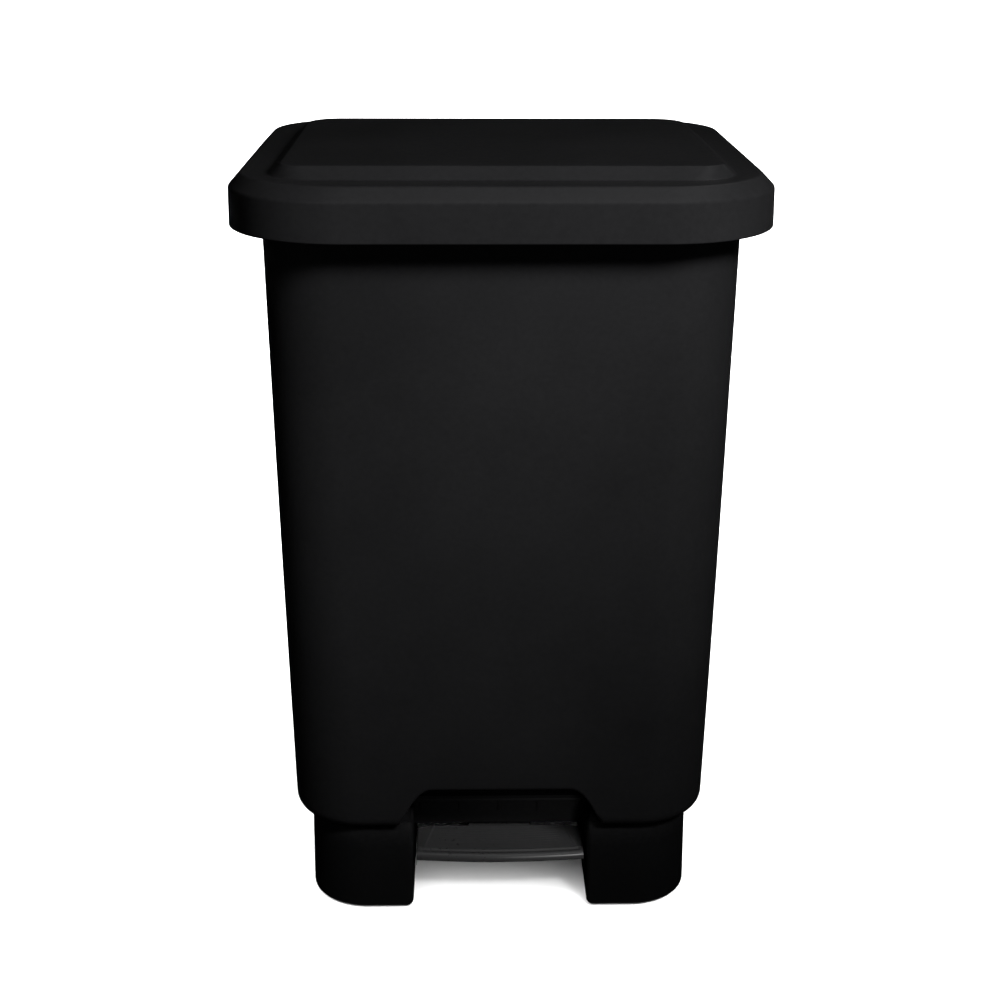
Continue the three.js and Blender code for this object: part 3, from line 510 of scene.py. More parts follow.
def bored(centre, radius, bore, low, high, web=None, upright=False, steps=72):
    """A round solid from low to high with a bore right through it, and perhaps a web running out.

    It lies along X, with its centre given as a y and a z, or stands upright, with an x and a y. A
    web is as wide as the round, and is given as how far it reaches from the centre and in which
    direction.
    """
    turn = np.linspace(0, 2 * math.pi, steps, endpoint=False)
    outer = np.full(steps, radius)
    if web is not None:
        reach, direction = web
        along = np.cos(turn - direction)
        aside = np.abs(np.sin(turn - direction))
        edge = np.minimum(radius / np.maximum(aside, 1e-6), reach / np.maximum(along, 1e-6))
        outer = np.where(along > 0, np.maximum(edge, radius), radius)
    rings = []
    for end, away in ((low, outer), (high, outer), (high, bore), (low, bore)):
        first = centre[0] + away * np.cos(turn)
        second = centre[1] + away * np.sin(turn)
        rings.append(points_of(first, second, end) if upright else points_of(end, first, second))
    row = np.arange(4)[:, None] * steps
    here = np.arange(steps)[None, :]
    there = (here + 1) % steps
    after = (row + steps) % (4 * steps)
    quads = np.stack([row + here, row + there, after + there, after + here], axis=-1)
    return np.concatenate(rings), quads.reshape(-1, 4).tolist()


class Outline:
    """Stops around a rounded rectangle, anticlockwise from above, from the middle of its +X side.

    A stop sits at (kx * (half width - r) + r * cos(angle), ky * (half depth - r) + r * sin(angle)),
    so it keeps its place on the outline while the outline grows, tapers or changes radius. Stops on
    the front and the back may keep a fixed x instead. A stop of the back's channel also keeps its
    distance in from the back, or keeps its y.
    """

    def __init__(self, corner_steps, side_steps, front=None, back=None):
        side = np.linspace(-1, 1, side_steps + 1)[1:-1]
        turn = np.linspace(0, math.pi / 2, corner_steps)
        self.pieces = []
        self.add(1.0, side, 0.0)
        self.add(1.0, 1.0, turn)
        if back is None:
            self.add(-side, 1.0, math.pi / 2)
        else:
            self.add(0.0, 1.0, math.pi / 2, back[:, 0], back[:, 1], back[:, 2])
        self.add(-1.0, 1.0, turn + math.pi / 2)
        self.add(-1.0, -side, math.pi)
        self.add(-1.0, -1.0, turn + math.pi)
        start = sum(len(piece[0]) for piece in self.pieces)
        if front is None:
            self.add(side, -1.0, 1.5 * math.pi)
        else:
            self.add(0.0, -1.0, 1.5 * math.pi, front)
        self.front = np.arange(start, sum(len(piece[0]) for piece in self.pieces))
        self.add(1.0, -1.0, turn + 1.5 * math.pi)
        self.kx, self.ky, self.angle, self.keep_x, self.pull, self.keep_y = map(
            np.concatenate, zip(*self.pieces)
        )
        self.normal = np.stack([np.cos(self.angle), np.sin(self.angle)], axis=-1)
        self.count = len(self.kx)

    def add(self, kx, ky, angle, keep_x=math.nan, pull=0.0, keep_y=math.nan):
        """Adds a run of stops, whose values are arrays or one number for all of them."""
        values = (kx, ky, angle, keep_x, pull, keep_y)
        self.pieces.append(np.broadcast_arrays(*[np.atleast_1d(value) for value in values]))

    def at(self, width, depth, radius, inset=0.0, centre_y=0.0):
        """The stops' x and y for an outline of that size, pulled in by inset."""
        r = np.maximum(radius - inset, 0.5)
        x = self.kx * (width / 2 - inset - r) + r * self.normal[:, 0]
        y = self.ky * (depth / 2 - inset - r) + r * self.normal[:, 1] + centre_y - self.pull
        x = np.where(np.isnan(self.keep_x), x, self.keep_x)
        y = np.where(np.isnan(self.keep_y), y, self.keep_y)
        return x, y

    def row(self, z, *size):
        """The same stops as points at a height."""
        return points_of(*self.at(*size), z)

    def flat(self, *size):
        """The same stops as an x and a y each."""
        return np.stack(self.at(*size), axis=-1)

# ------------------------------------------------------------------ tub

def share_of_height(z):
    """How far up the tub's taper a height is."""
    return (z - tub_low[2]) / (tub_high[2] - tub_low[2])


def tub_width(z):
    """The tub's width at a height: an even taper whose sides bow out a little half way up."""
    share = share_of_height(z)
    return TUB_BOTTOM[0] + (TUB_TOP[0] - TUB_BOTTOM[0]) * share + 8.0 * TUB_BOW * share * (1.0 - share)


def tub_depth(z):
    """The tub's depth at a height: an even taper."""
    return TUB_BOTTOM[1] + (TUB_TOP[1] - TUB_BOTTOM[1]) * share_of_height(z)


def recess_edge(x):
    """How far the toe recess reaches above the tub's bottom, at a distance x from the middle.

    Straight slanting sides under a level top, rounded generously where they meet it and a little
    where they run out at the bottom.
    """
    slant = RECESS_SIDE_LIFT - (np.abs(x) - RECESS_SIDE_X) * RECESS_SLANT
    lifted = -soft_least(-slant, np.zeros_like(slant), RECESS_FOOT_ROUND)
    return soft_least(lifted, np.full_like(slant, RECESS_TOP - tub_low[2]), RECESS_TOP_ROUND)


def front_stops():
    """Stops across the tub's front: close together over the toe recess's slanting ends."""
    ends = np.arange(56.0, 98.5, 1.0)
    middle = np.linspace(-54.0, 54.0, 25)
    return np.concatenate([-ends[::-1], middle, ends])


def channel_stops():
    """Stops across the back, from +X to -X, around the rod's channel with its small corners.

    Each is an x, a distance in from the back and, inside the channel's front corners, a fixed y.
    """
    turn = np.linspace(0, math.pi / 2, 4)
    along = CHANNEL_ROUND * (1 - np.sin(turn))
    across = CHANNEL_ROUND * (1 - np.cos(turn))
    wall = points_of(np.linspace(112.0, 26.0, 9), 0.0, math.nan)
    outer = points_of(CHANNEL_HALF + along, across, math.nan)
    inner = points_of(CHANNEL_HALF - across, 0.0, CHANNEL_FRONT + along)
    right = np.concatenate([wall, outer, inner])
    left = right[::-1] * [-1, 1, 1]
    return np.concatenate([right, left])


def tub_outline():
    """The tub's stops, with the toe recess at the front and the rod's channel at the back."""
    return Outline(26, 14, front_stops(), channel_stops())


def tub_shell():
    """The tub's outer skin, given its wall towards the inside.

    Rows run from the rounded bottom edge up the tapered wall, closer together near its ends. At
    the front the bottom edge climbs over the toe recess, and a hood runs back from there to the
    recess's end.
    """
    outline = tub_outline()
    front = outline.front
    at_front = np.zeros(outline.count, dtype=bool)
    at_front[front] = True
    lift = np.where(at_front, recess_edge(outline.keep_x), 0.0)
    edge = TUB_EDGE + (RECESS_EDGE - TUB_EDGE) * smoothstep(0.0, RECESS_EDGE_RUN, lift)
    bottom = tub_low[2] + lift
    in_channel = (np.abs(outline.keep_x) <= CHANNEL_HALF + CHANNEL_ROUND + 0.1) & ~at_front
    top = np.where(in_channel, tub_high[2] - 0.3, FLANGE_Z + 1.2)
    start = bottom + edge
    path = arc(start, 0.0, edge, -90, 0, 9)
    for share in (0.004, 0.02, 0.08, 0.2, 0.4, 0.6, 0.8, 0.93, 0.985, 0.997, 1.0):
        path.append((start + (top - start) * share, 0.0))
    rows = [outline.row(z, tub_width(z), tub_depth(z), TUB_CORNER, inset) for z, inset in path]
    points = np.concatenate(rows)
    faces = grid_faces(len(rows), outline.count, True)

    first = rows[0][front]
    hood = []
    for share in (0.35, 0.7, 0.92, 1.0):
        row = first.copy()
        row[:, 1] += (RECESS_BACK + 0.2 - first[:, 1]) * share
        hood.append(row)
    new = len(points) + np.arange(len(hood) * len(front)).reshape(len(hood), len(front))
    index = np.vstack([front, new])
    hood_faces = np.stack([index[:-1, 1:], index[:-1, :-1], index[1:, :-1], index[1:, 1:]], axis=-1)
    points = np.vstack([points, *hood])
    faces = np.vstack([faces, hood_faces.reshape(-1, 4)])
    shell = mesh_object("tub_shell", points, faces.tolist(), "root", "tub_plastic", 50.0)
    thicken(shell, TUB_WALL)
    return shell


def tub_floor():
    """The tub's floor, the wall at the back of the toe recess and four bosses for screws."""
    outline = tub_outline()
    front = outline.front
    z = tub_low[2]
    rim = outline.flat(tub_width(z), tub_depth(z), TUB_CORNER, TUB_EDGE - 0.8)
    notch = rim[front]
    notch[:, 1] = RECESS_BACK - 0.4
    plate = np.vstack([rim[:front[0] + 1], notch, rim[front[-1]:]])
    across = np.linspace(-RECESS_WALL_HALF, RECESS_WALL_HALF, 93)
    arch = np.stack([across, z + FACE_GAP + recess_edge(across)], axis=-1)
    wall = np.vstack([arch, [[RECESS_WALL_HALF, z], [-RECESS_WALL_HALF, z]]])
    points, faces = prism(wall, 2, -RECESS_BACK - TUB_WALL, -RECESS_BACK)
    upright = points_of(points[:, 0], -points[:, 2], points[:, 1])
    parts = [prism(plate, 2, z + FACE_GAP, z + TUB_FLOOR), (upright, faces)]
    top_radius = SCREW_BOSS_RADIUS - SCREW_BOSS_EDGE
    foot = TUB_FLOOR - 1.0
    boss = [
        (0, SCREW_BOSS_TOP), (top_radius, SCREW_BOSS_TOP),
        (SCREW_BOSS_RADIUS, SCREW_BOSS_TOP - SCREW_BOSS_EDGE), (SCREW_BOSS_RADIUS, foot), (0, foot),
    ]
    for side_y in (1, -1):
        for side_x in (1, -1):
            parts.append(lathe(boss, (side_x * SCREW_BOSS[0], side_y * SCREW_BOSS[1], z), 32))
    parts_piece("tub_floor", parts, "root", "tub_plastic")


def tub_rim():
    """The rim turned outwards with a lip hanging from it, open at the rod's channel."""
    outline = Outline(26, 14, None, channel_stops())
    in_channel = np.flatnonzero(np.abs(outline.keep_x) <= CHANNEL_HALF + 1.0)
    order = np.concatenate([np.arange(in_channel[-1] + 1, outline.count), np.arange(in_channel[0])])
    x, y = outline.at(*TUB_TOP, TUB_CORNER)
    rear = smoothstep(0.1, 0.95, outline.normal[:, 1])
    reach = 1.0 - (1.0 - LIP_REAR_SHARE) * rear
    path = [(-TUB_WALL - 0.04, FLANGE_Z - 0.02), (-1.0, FLANGE_Z), (LIP_ROUND, FLANGE_Z)]
    for turn in np.linspace(0, math.pi / 2, 5):
        path.append((
            LIP_OUT - LIP_ROUND * (1 - math.sin(turn)), FLANGE_Z - LIP_ROUND * (1 - math.cos(turn)),
        ))
    path.append((LIP_OUT, FLANGE_Z - LIP_DROP))
    rows = []
    for out, height in path:
        shift = np.where(out > 0, out * reach, out)
        row = points_of(x + shift * outline.normal[:, 0], y + shift * outline.normal[:, 1], height)
        rows.append(row[order])
    rim = grid_piece("tub_rim", rows, "root", "tub_plastic", True, 50.0)
    thicken(rim, TUB_WALL)
    ease_edges(rim, 0.5)


def hinge_ears():
    """Two pairs of ears on the tub and one ear between each pair on the lid."""
    hinge = (hinge_y, hinge_z)
    forward = (hinge_y - (TUB_TOP[1] / 2 - EAR_SINK), math.pi)
    upward = (lid_high[2] - LEDGE_DROP - EAR_SINK - hinge_z, math.pi / 2)
    on_tub = []
    on_lid = []
    for side in (1, -1):
        for ear in TUB_EARS:
            low, high = sorted((side * ear[0], side * ear[1]))
            on_tub.append(bored(hinge, EAR_RADIUS, HINGE_BORE, low, high, forward))
        low, high = sorted((side * LID_EAR[0], side * LID_EAR[1]))
        on_lid.append(bored(hinge, EAR_RADIUS, HINGE_BORE, low, high, upward))
    ease_edges(parts_piece("tub_hinge_ears", on_tub, "root", "tub_plastic"), 0.5)
    ease_edges(parts_piece("lid_hinge_ears", on_lid, "lid", "lid_plastic"), 0.5)


# ------------------------------------------------------------------ lid

def skirt_rows(outline):
    """Rows of the lid's skirt, from its hem up over the rounded edge to the ledge."""
    width, depth = (lid_high - lid_low)[:2]
    hem = lid_low[2] + LID_HEM
    ledge = lid_high[2] - LEDGE_DROP
    set_back = LID_EDGE_ROUND * math.tan(math.pi / 8)
    skirt_top = ledge - LID_EDGE - set_back
    corner = LID_CORNER_FRONT + (LID_CORNER_REAR - LID_CORNER_FRONT) * (outline.ky + 1) / 2
    path = [(lid_low[2] + 0.9, LID_HEM + 0.2)]
    path += arc(hem, 0.0, LID_HEM, -90, 0, 6)
    path += [(hem + (skirt_top - hem) * share, LID_DRAFT * share) for share in (0.1, 0.5, 0.9)]
    path += arc(skirt_top, LID_DRAFT, LID_EDGE_ROUND, 0, 45, 7)
    ledge_start = LID_DRAFT + LID_EDGE + set_back
    path += arc(ledge - LID_EDGE_ROUND, ledge_start - LID_EDGE_ROUND, LID_EDGE_ROUND, 45, 90, 7)
    return [outline.row(z, width, depth, corner, inset) for z, inset in path]


def panel_row(outline, z, grow):
    """A row of the raised panel's outline, grown outwards from its top edge."""
    width, depth = (lid_high - lid_low)[:2]
    rear = (outline.ky + 1) / 2
    corner = PANEL_CORNER_FRONT + (PANEL_CORNER_REAR - PANEL_CORNER_FRONT) * rear
    return outline.row(
        z, width - 2 * PANEL_SIDE, depth - PANEL_FRONT - PANEL_REAR, corner + grow, -grow,
        (PANEL_FRONT - PANEL_REAR) / 2,
    )


def lid_shell():
    """The lid's outer skin, given its wall towards the inside.

    Rows climb the skirt, turn over the rounded edge to the ledge, rise up the raised panel's slope
    and close over its slightly crowned top. A ledge row blends from the outline's corner to the
    panel's, so the ledge is wider at the back.
    """
    outline = Outline(28, 22)
    top = lid_high[2]
    foot = top - LEDGE_DROP + LEDGE_RISE
    crest = top - PANEL_CROWN
    rows = skirt_rows(outline)
    outer = rows[-1]
    inner = panel_row(outline, foot, PANEL_BEVEL + LEDGE_BLEND)
    for share in (0.12, 0.35, 0.65, 0.9, 1.0):
        rows.append(outer + (inner - outer) * share)
    slope = math.atan2(crest - foot, PANEL_BEVEL)
    outwards = PANEL_BEVEL + PANEL_FOOT_ROUND * math.tan(slope / 2)
    for turn in np.linspace(0, slope, 7)[1:]:
        z = foot + PANEL_FOOT_ROUND * (1 - math.cos(turn))
        rows.append(panel_row(outline, z, outwards - PANEL_FOOT_ROUND * math.sin(turn)))
    inwards = PANEL_CREST_ROUND * math.tan(slope / 2)
    for turn in np.linspace(slope, 0, 8):
        z = crest - PANEL_CREST_ROUND * (1 - math.cos(turn))
        rows.append(panel_row(outline, z, PANEL_CREST_ROUND * math.sin(turn) - inwards))
    edge = rows[-1]
    middle = np.array([0.0, (PANEL_FRONT - PANEL_REAR) / 2, top])
    for share in (0.06, 0.2, 0.4, 0.6, 0.8, 0.94):
        row = edge + (middle - edge) * share
        row[:, 2] = crest + (top - crest) * (1 - (1 - share) ** 2)
        rows.append(row)
    points = np.vstack([*rows, middle])
    tip = len(points) - 1
    faces = grid_faces(len(rows), outline.count, True).tolist()
    faces += fan(np.arange(tip - outline.count, tip), tip)
    shell = mesh_object("lid_shell", points, faces, "lid", "lid_plastic", 50.0)
    thicken(shell, LID_WALL)
    return shell


def lid_ribs():
    """Three ribs each way under the raised panel, and the two bosses that take the crank's screws."""
    top = lid_high[2] - 1.6
    low = lid_high[2] - LID_WALL - LID_RIB_DEPTH
    side = lid_high[0] - PANEL_SIDE - 0.6
    front = lid_low[1] + PANEL_FRONT + 0.6
    back = lid_high[1] - PANEL_REAR - 0.6
    middle = (front + back) / 2
    ribs = []
    for place in (-LID_RIB_PITCH, 0.0, LID_RIB_PITCH):
        near, far = place - LID_RIB_HALF, place + LID_RIB_HALF
        ribs.append(block(near, far, front, back, low, top))
        ribs.append(block(-side, side, middle + near, middle + far, low + 0.05, top))
    ease_edges(parts_piece("lid_ribs", ribs, "lid", "lid_plastic"), 0.35)
    under = lid_high[2] - LEDGE_DROP - 1.4
    bosses = []
    for side in (-1, 1):
        centre = (side * CRANK_BOSS[0], CRANK_BOSS[1])
        bosses.append(bored(
            centre, CRANK_BOSS_RADIUS, CRANK_BOSS_BORE, under - CRANK_BOSS_LENGTH, under,
            upright=True, steps=40,
        ))
    ease_edges(parts_piece("lid_screw_bosses", bosses, "lid", "lid_plastic"), 0.3)


# ------------------------------------------------------------------ base

def arch_lift(along):
    """How far the base's bottom edge is lifted between two feet, sloping down at both ends."""
    lifted = ARCH_HALF + ARCH_HEIGHT - np.abs(along)
    return np.clip(soft_least(lifted, np.full_like(lifted, ARCH_HEIGHT), 4.0), 0.0, None)


def back_stops():
    """Stops across the base's back, from +X to -X, close together at the rod housing's sides."""
    right = np.concatenate([np.linspace(112.0, 26.0, 19), np.arange(25.0, 16.0, -0.75), [12.0, 6.0]])
    return points_of(np.concatenate([right, [0.0], -right[::-1]]), 0.0, math.nan)


def base_row(outline, order, bottom, turn, share):
    """One row of the base's skirt: turn is round its bottom edge, share is up its wall.

    It runs forward along the right foot's cheek, round to the foot's front, right round the
    outside to the left foot, and back along that foot's cheek.
    """
    top = base_high[2]
    z = bottom + BASE_EDGE * (1 - math.sin(turn))
    z = z + (top - z) * share
    up = (z.mean() - base_low[2]) / (top - base_low[2])
    width = BASE_BOTTOM[0] + (BASE_TOP[0] - BASE_BOTTOM[0]) * up
    depth = BASE_BOTTOM[1] + (BASE_TOP[1] - BASE_BOTTOM[1]) * up
    rounding = (1 - math.cos(turn)) * (1 - share)
    x, y = outline.at(width, depth, BASE_CORNER, BASE_EDGE * rounding)
    main = points_of(x[order], y[order], z)
    front_y = main[0, 1]
    face = FOOT_GAP + FOOT_INNER_EDGE * rounding
    face_z = base_low[2] + FOOT_INNER_EDGE * (1 - math.sin(turn))
    face_z = face_z + (top - face_z) * share
    cheek_y = [np.linspace(156.0, -100.0, 12), np.linspace(-112.0, front_y + FOOT_CORNER, 8)]
    cheek = points_of(face, np.concatenate(cheek_y), face_z)
    arc = np.linspace(0, math.pi / 2, 8)[1:]
    bend = points_of(
        face + FOOT_CORNER * (1 - np.cos(arc)), front_y + FOOT_CORNER * (1 - np.sin(arc)),
        face_z + (z[0] - face_z) * arc / (math.pi / 2),
    )
    straight = bend[-1] + (main[0] - bend[-1]) * np.linspace(0, 1, 9)[1:-1, None]
    right = np.concatenate([cheek, bend, straight])
    left = right[::-1] * [-1, 1, 1]
    return np.concatenate([right, main, left])


def base_shell():
    """The base's skirt: one strip from the right foot's inner cheek round the back to the left's.

    Rows run from the rounded bottom edge up the tapered wall. The bottom edge is rounded more on
    the two cheeks, and is lifted between the feet at the sides and the back. The back swells out
    over the rod's housing.
    """
    outline = Outline(24, 40, None, back_stops())
    front = outline.front
    order = np.concatenate([np.arange(front[-1] + 1, outline.count), np.arange(front[0])])
    normal = outline.normal[order]
    flat_x, flat_y = outline.at(*BASE_BOTTOM, BASE_CORNER)
    beyond_arches = 1000.0
    along = np.where(np.abs(normal[:, 0]) > 0.999, flat_y[order], beyond_arches)
    along = np.where(normal[:, 1] > 0.999, flat_x[order], along)
    bottom = base_low[2] + arch_lift(along)
    steps = [(turn, 0.0) for turn in np.linspace(math.pi / 2, 0, 7)]
    steps += [(0.0, share) for share in (0.03, 0.15, 0.4, 0.7, 1.0)]
    rows = [base_row(outline, order, bottom, turn, share) for turn, share in steps]
    for row in rows:
        aside = np.abs(row[:, 0])
        swell = 1.0 - smoothstep(HOUSING_HALF - 3.0, HOUSING_HALF + 1.5, aside)
        on_back = (row[:, 1] > BASE_TOP[1] / 2 - 12.0) & (aside < HOUSING_HALF + 6.0)
        row[:, 1] += np.where(on_back, swell * np.clip(base_high[1] - row[:, 1], 0.0, None), 0.0)
    shell = grid_piece("base_skirt", rows, "root", "base_plastic", False, 50.0)
    thicken(shell, BASE_WALL)
    return shell


def deck_edge():
    """The deck's outline: the base's own, cut back round the rod's channel and the feet's gap."""
    outline = Outline(16, 8)
    rim = outline.flat(*BASE_TOP, BASE_CORNER, 1.2)
    front = outline.front
    back_y = rim[:, 1].max()
    near_channel = np.abs(rim[:, 0]) < CHANNEL_HALF + 12.0
    cut = np.flatnonzero(near_channel & (rim[:, 1] > 0.0))
    channel = [
        [CHANNEL_HALF, back_y], [CHANNEL_HALF, CHANNEL_FRONT],
        [-CHANNEL_HALF, CHANNEL_FRONT], [-CHANNEL_HALF, back_y],
    ]
    gap_x = FOOT_GAP + 1.0
    gap_y = RECESS_BACK - 3.4
    front_y = rim[front[0], 1]
    gap = [[-gap_x, front_y], [-gap_x, gap_y], [gap_x, gap_y], [gap_x, front_y]]
    return np.vstack([
        rim[:cut[0]], channel, rim[cut[-1] + 1:front[0]], gap, rim[front[-1] + 1:],
    ])


def deck_and_soles():
    """The base's deck under the tub, and the soles of its four feet."""
    deck_top = base_high[2]
    parts = [prism(deck_edge(), 2, deck_top - BASE_WALL, deck_top - FACE_GAP)]
    rim = Outline(16, 8).flat(*BASE_BOTTOM, BASE_CORNER, 2.0)
    inner_x, inner_y = SOLE_INNER
    inside = np.array([[inner_x, 160.0], [inner_x, inner_y], [162.0, inner_y]])
    for side_x in (1, -1):
        for side_y in (1, -1):
            sides = [side_x, side_y]
            corner = rim[(rim[:, 0] * side_x > 100) & (rim[:, 1] * side_y > 100)]
            sole = np.vstack([corner, inside * sides])
            away = sole - np.array([118.0, 125.0]) * sides
            order = np.argsort(np.arctan2(away[:, 1], away[:, 0]))
            parts.append(prism(sole[order], 2, base_low[2] + 0.3, base_low[2] + SOLE_TOP))
    parts_piece("base_deck_and_soles", parts, "root", "base_plastic")


def axle_bosses():
    """A round boss on each side of the gap between the feet, for the pedal's axle."""
    bosses = []
    for side in (1, -1):
        low, high = sorted(side * (FOOT_GAP + away) for away in AXLE_BOSS)
        bosses.append(bored((axle_y, axle_z), AXLE_BOSS_RADIUS, AXLE_BORE, low, high))
    ease_edges(parts_piece("axle_bosses", bosses, "root", "base_plastic"), 0.5)


def rib_wall():
    """The wall behind the treadle, a sloping ledge along its top and five short ribs below that."""
    half = FOOT_GAP + 1.0
    top = base_high[2] - 0.5
    rear = RECESS_BACK + WALL_THICKNESS
    nose = RECESS_BACK - LEDGE_OUT
    inside = RECESS_BACK + 1.0
    wall = [[RECESS_BACK, WALL_BOTTOM], [RECESS_BACK, top], [rear, top], [rear, WALL_BOTTOM]]
    ledge = [
        [nose, LEDGE_LOW], [nose, LEDGE_LOW + 1.2], [RECESS_BACK - 0.6, top], [inside, top],
        [inside, LEDGE_LOW],
    ]
    parts = [prism(section[::-1], 0, -half, half) for section in (wall, ledge)]
    for x in RIB_PITCH * np.arange(-2, 3):
        parts.append(block(x - 1.0, x + 1.0, nose + 0.3, inside, RIB_LOW, LEDGE_LOW + 0.5))
    ease_edges(parts_piece("rib_wall", parts, "root", "base_plastic", 30.0), 0.45)


# ------------------------------------------------------------------ pedal

def tread_top(y):
    """The treadle's top surface at a depth y: one even slope."""
    share = (y - pedal_low[1]) / (TREAD_BACK - pedal_low[1])
    return TREAD_FRONT_Z + (TREAD_BACK_Z - TREAD_FRONT_Z) * share


def tread_relief(x, behind, half):
    """How far the treadle's top lies above its plane, at an x and a distance behind its front edge.

    A groove follows the front lip. Behind a narrow margin the field is dished, with slanted ends
    that widen towards the back, and fine ribs run along its rear half.
    """
    aside = np.abs(x)
    in_groove = 1 - smoothstep(half - 5.0, half - 2.0, aside)
    off_groove = (behind - TREAD_GROOVE_PLACE) / TREAD_GROOVE_WIDTH
    groove = TREAD_GROOVE * np.exp(-off_groove ** 2) * in_groove
    end = half - 4.0 - 0.28 * behind
    in_field = smoothstep(8.5, 10.0, behind)
    dish = in_field * (1 - smoothstep(end - 1.5, end, aside))
    facet = TREAD_FACET * np.clip(aside - end, 0.0, None) * in_field
    ribs = TREAD_RIB * (0.5 + 0.5 * np.cos(2 * math.pi * behind / TREAD_RIB_PITCH)) ** 2
    ribs = ribs * smoothstep(16.0, 19.0, behind) * (1 - smoothstep(half - 24.0, half - 18.0, aside))
    return ribs * dish - groove - TREAD_DISH * dish - facet


def treadle():
    """The foot plate: a folded skin, given its wall towards the inside.

    Across and along, points beyond the plate's outline turn down into its skirts round a small
    radius. The front edge bows forward.
    """
    half = FOOT_GAP - 2.5
    flat_half = half - TREAD_FOLD
    turn = np.array([0.25, 0.5, 0.75, 1.0]) * math.pi / 2
    out = TREAD_FOLD * np.sin(turn)
    down = TREAD_FOLD * (1 - np.cos(turn))
    skirt = np.array([5.0, 9.0, TREAD_SKIRT])
    across = np.linspace(-flat_half, flat_half, 290)
    x = np.concatenate([[-half] * 3, -flat_half - out[::-1], across, flat_half + out, [half] * 3])
    side_drop = np.concatenate([skirt[::-1], down[::-1], np.zeros(len(across)), down, skirt])
    front = pedal_low[1] + TREAD_BOW * (x / half) ** 2
    rows = []

    def add_row(y, end_drop):
        z = tread_top(y) + tread_relief(x, y - front, half) - np.maximum(side_drop, end_drop)
        rows.append(points_of(x, y, z))

    add_row(front, TREAD_LIP)
    add_row(front, TREAD_LIP - 1.0)
    start = front + TREAD_NOSE
    for y, depth in arc(start, 0.0, TREAD_NOSE, -90, 0, 9):
        add_row(y, depth)
    for share in np.linspace(0.0, 1.0, 110)[1:]:
        add_row(start + (TREAD_BACK - TREAD_FOLD - start) * share, 0.0)
    for away, depth in zip(out, down):
        add_row(TREAD_BACK - TREAD_FOLD + away, depth)
    for depth in skirt:
        add_row(TREAD_BACK, depth)
    plate = grid_piece("treadle", rows, "pedal", "pedal_plastic", False, 60.0)
    thicken(plate, TREAD_WALL)
    return plate


def lever():
    """The lever behind the treadle: a channel open below, its hub, and the eye that lifts the rod.

    The channel's section is a top and two sides with rounded corners, carried from under the
    treadle over the axle to the tail, where the rod's hook is.
    """
    tail = rod_y - TONGUE_LENGTH
    start_z = TREAD_BACK_Z - 3.2
    above = axle_z + LEVER_HEIGHT / 2
    below = axle_z - LEVER_HEIGHT / 2
    tail_top = hook_z + LEVER_HEIGHT / 2
    tail_low = hook_z - TONGUE_RADIUS
    stations = [
        (LEVER_END, start_z, start_z - 14.0),
        (axle_y - 6.0, above + 0.9, below + 0.9),
        (axle_y, above, below),
        (axle_y + 6.0, above - 0.8, below - 0.5),
        (tail, tail_top, tail_low),
    ]
    arc = np.linspace(0, math.pi / 2, 6)
    right_x = np.concatenate([[LEVER_HALF], LEVER_HALF - LEVER_ROUND * (1 - np.cos(arc))])
    from_top = np.concatenate([[math.nan], LEVER_ROUND * (1 - np.sin(arc))])
    x = np.concatenate([right_x, [9.0, 0.0, -9.0], -right_x[::-1]])
    under_top = np.concatenate([from_top, np.zeros(3), from_top[::-1]])
    rows = []
    for y, top, bottom in stations:
        rows.append(points_of(x, y, np.where(np.isnan(under_top), bottom, top - under_top)))
    arm = grid_piece("lever_arm", rows, "pedal", "pedal_plastic", True, 40.0)
    thicken(arm, LEVER_WALL)
    hub_half = FOOT_GAP - 2.0
    hub = bored((axle_y, axle_z), HUB_RADIUS, AXLE_BORE, -hub_half, hub_half)
    web = (TONGUE_LENGTH + 1.0, math.pi)
    eye = bored((rod_y, hook_z), TONGUE_RADIUS, TONGUE_BORE, -TONGUE_HALF, TONGUE_HALF, web)
    inside = LEVER_HALF - 0.5
    end = block(-inside, inside, tail - LEVER_WALL, tail, tail_low + FACE_GAP, tail_top - 0.3)
    fittings = parts_piece("lever_hub_and_eye", [hub, eye, end], "pedal", "pedal_plastic")
    ease_edges(fittings, 0.5)


# ------------------------------------------------------------------ stage

def add_object(name, data):
    """A new object in the scene."""
    thing = bpy.data.objects.new(name, data)
    bpy.context.scene.collection.objects.link(thing)
    return thing


def flat_disc(name, radius, material):
    """A large round sheet facing up, in metres: rings of points about its middle."""
    steps = 96
    turn = np.linspace(0, 2 * math.pi, steps, endpoint=False)
    reach = radius * np.array([[0.001], [0.01], [0.03], [0.1], [0.3], [1.0]])
    points = points_of(reach * np.cos(turn), reach * np.sin(turn), 0.0).reshape(-1, 3)
    faces = grid_faces(len(reach), steps, True)[:, ::-1].tolist()
    faces.append(list(range(steps)))
    mesh = bpy.data.meshes.new(name)
    mesh.from_pydata(points.tolist(), [], faces)
    mesh.materials.append(material)
    return add_object(name, mesh)


def seen_directly(tree):
    """1 for what the camera sees itself, in a reflection or through a clear piece, otherwise 0."""
    path = tree.nodes.new("ShaderNodeLightPath")
    seen = maths(tree, "MAXIMUM", path.outputs["Is Camera Ray"], path.outputs["Is Glossy Ray"])
    return maths(tree, "MAXIMUM", seen, path.outputs["Is Transmission Ray"])


def matt(tree, grey):
    """A matt shader of one grey."""
    return add_node(tree, "ShaderNodeBsdfDiffuse", {"Color": (grey, grey, grey, 1.0)}).outputs["BSDF"]


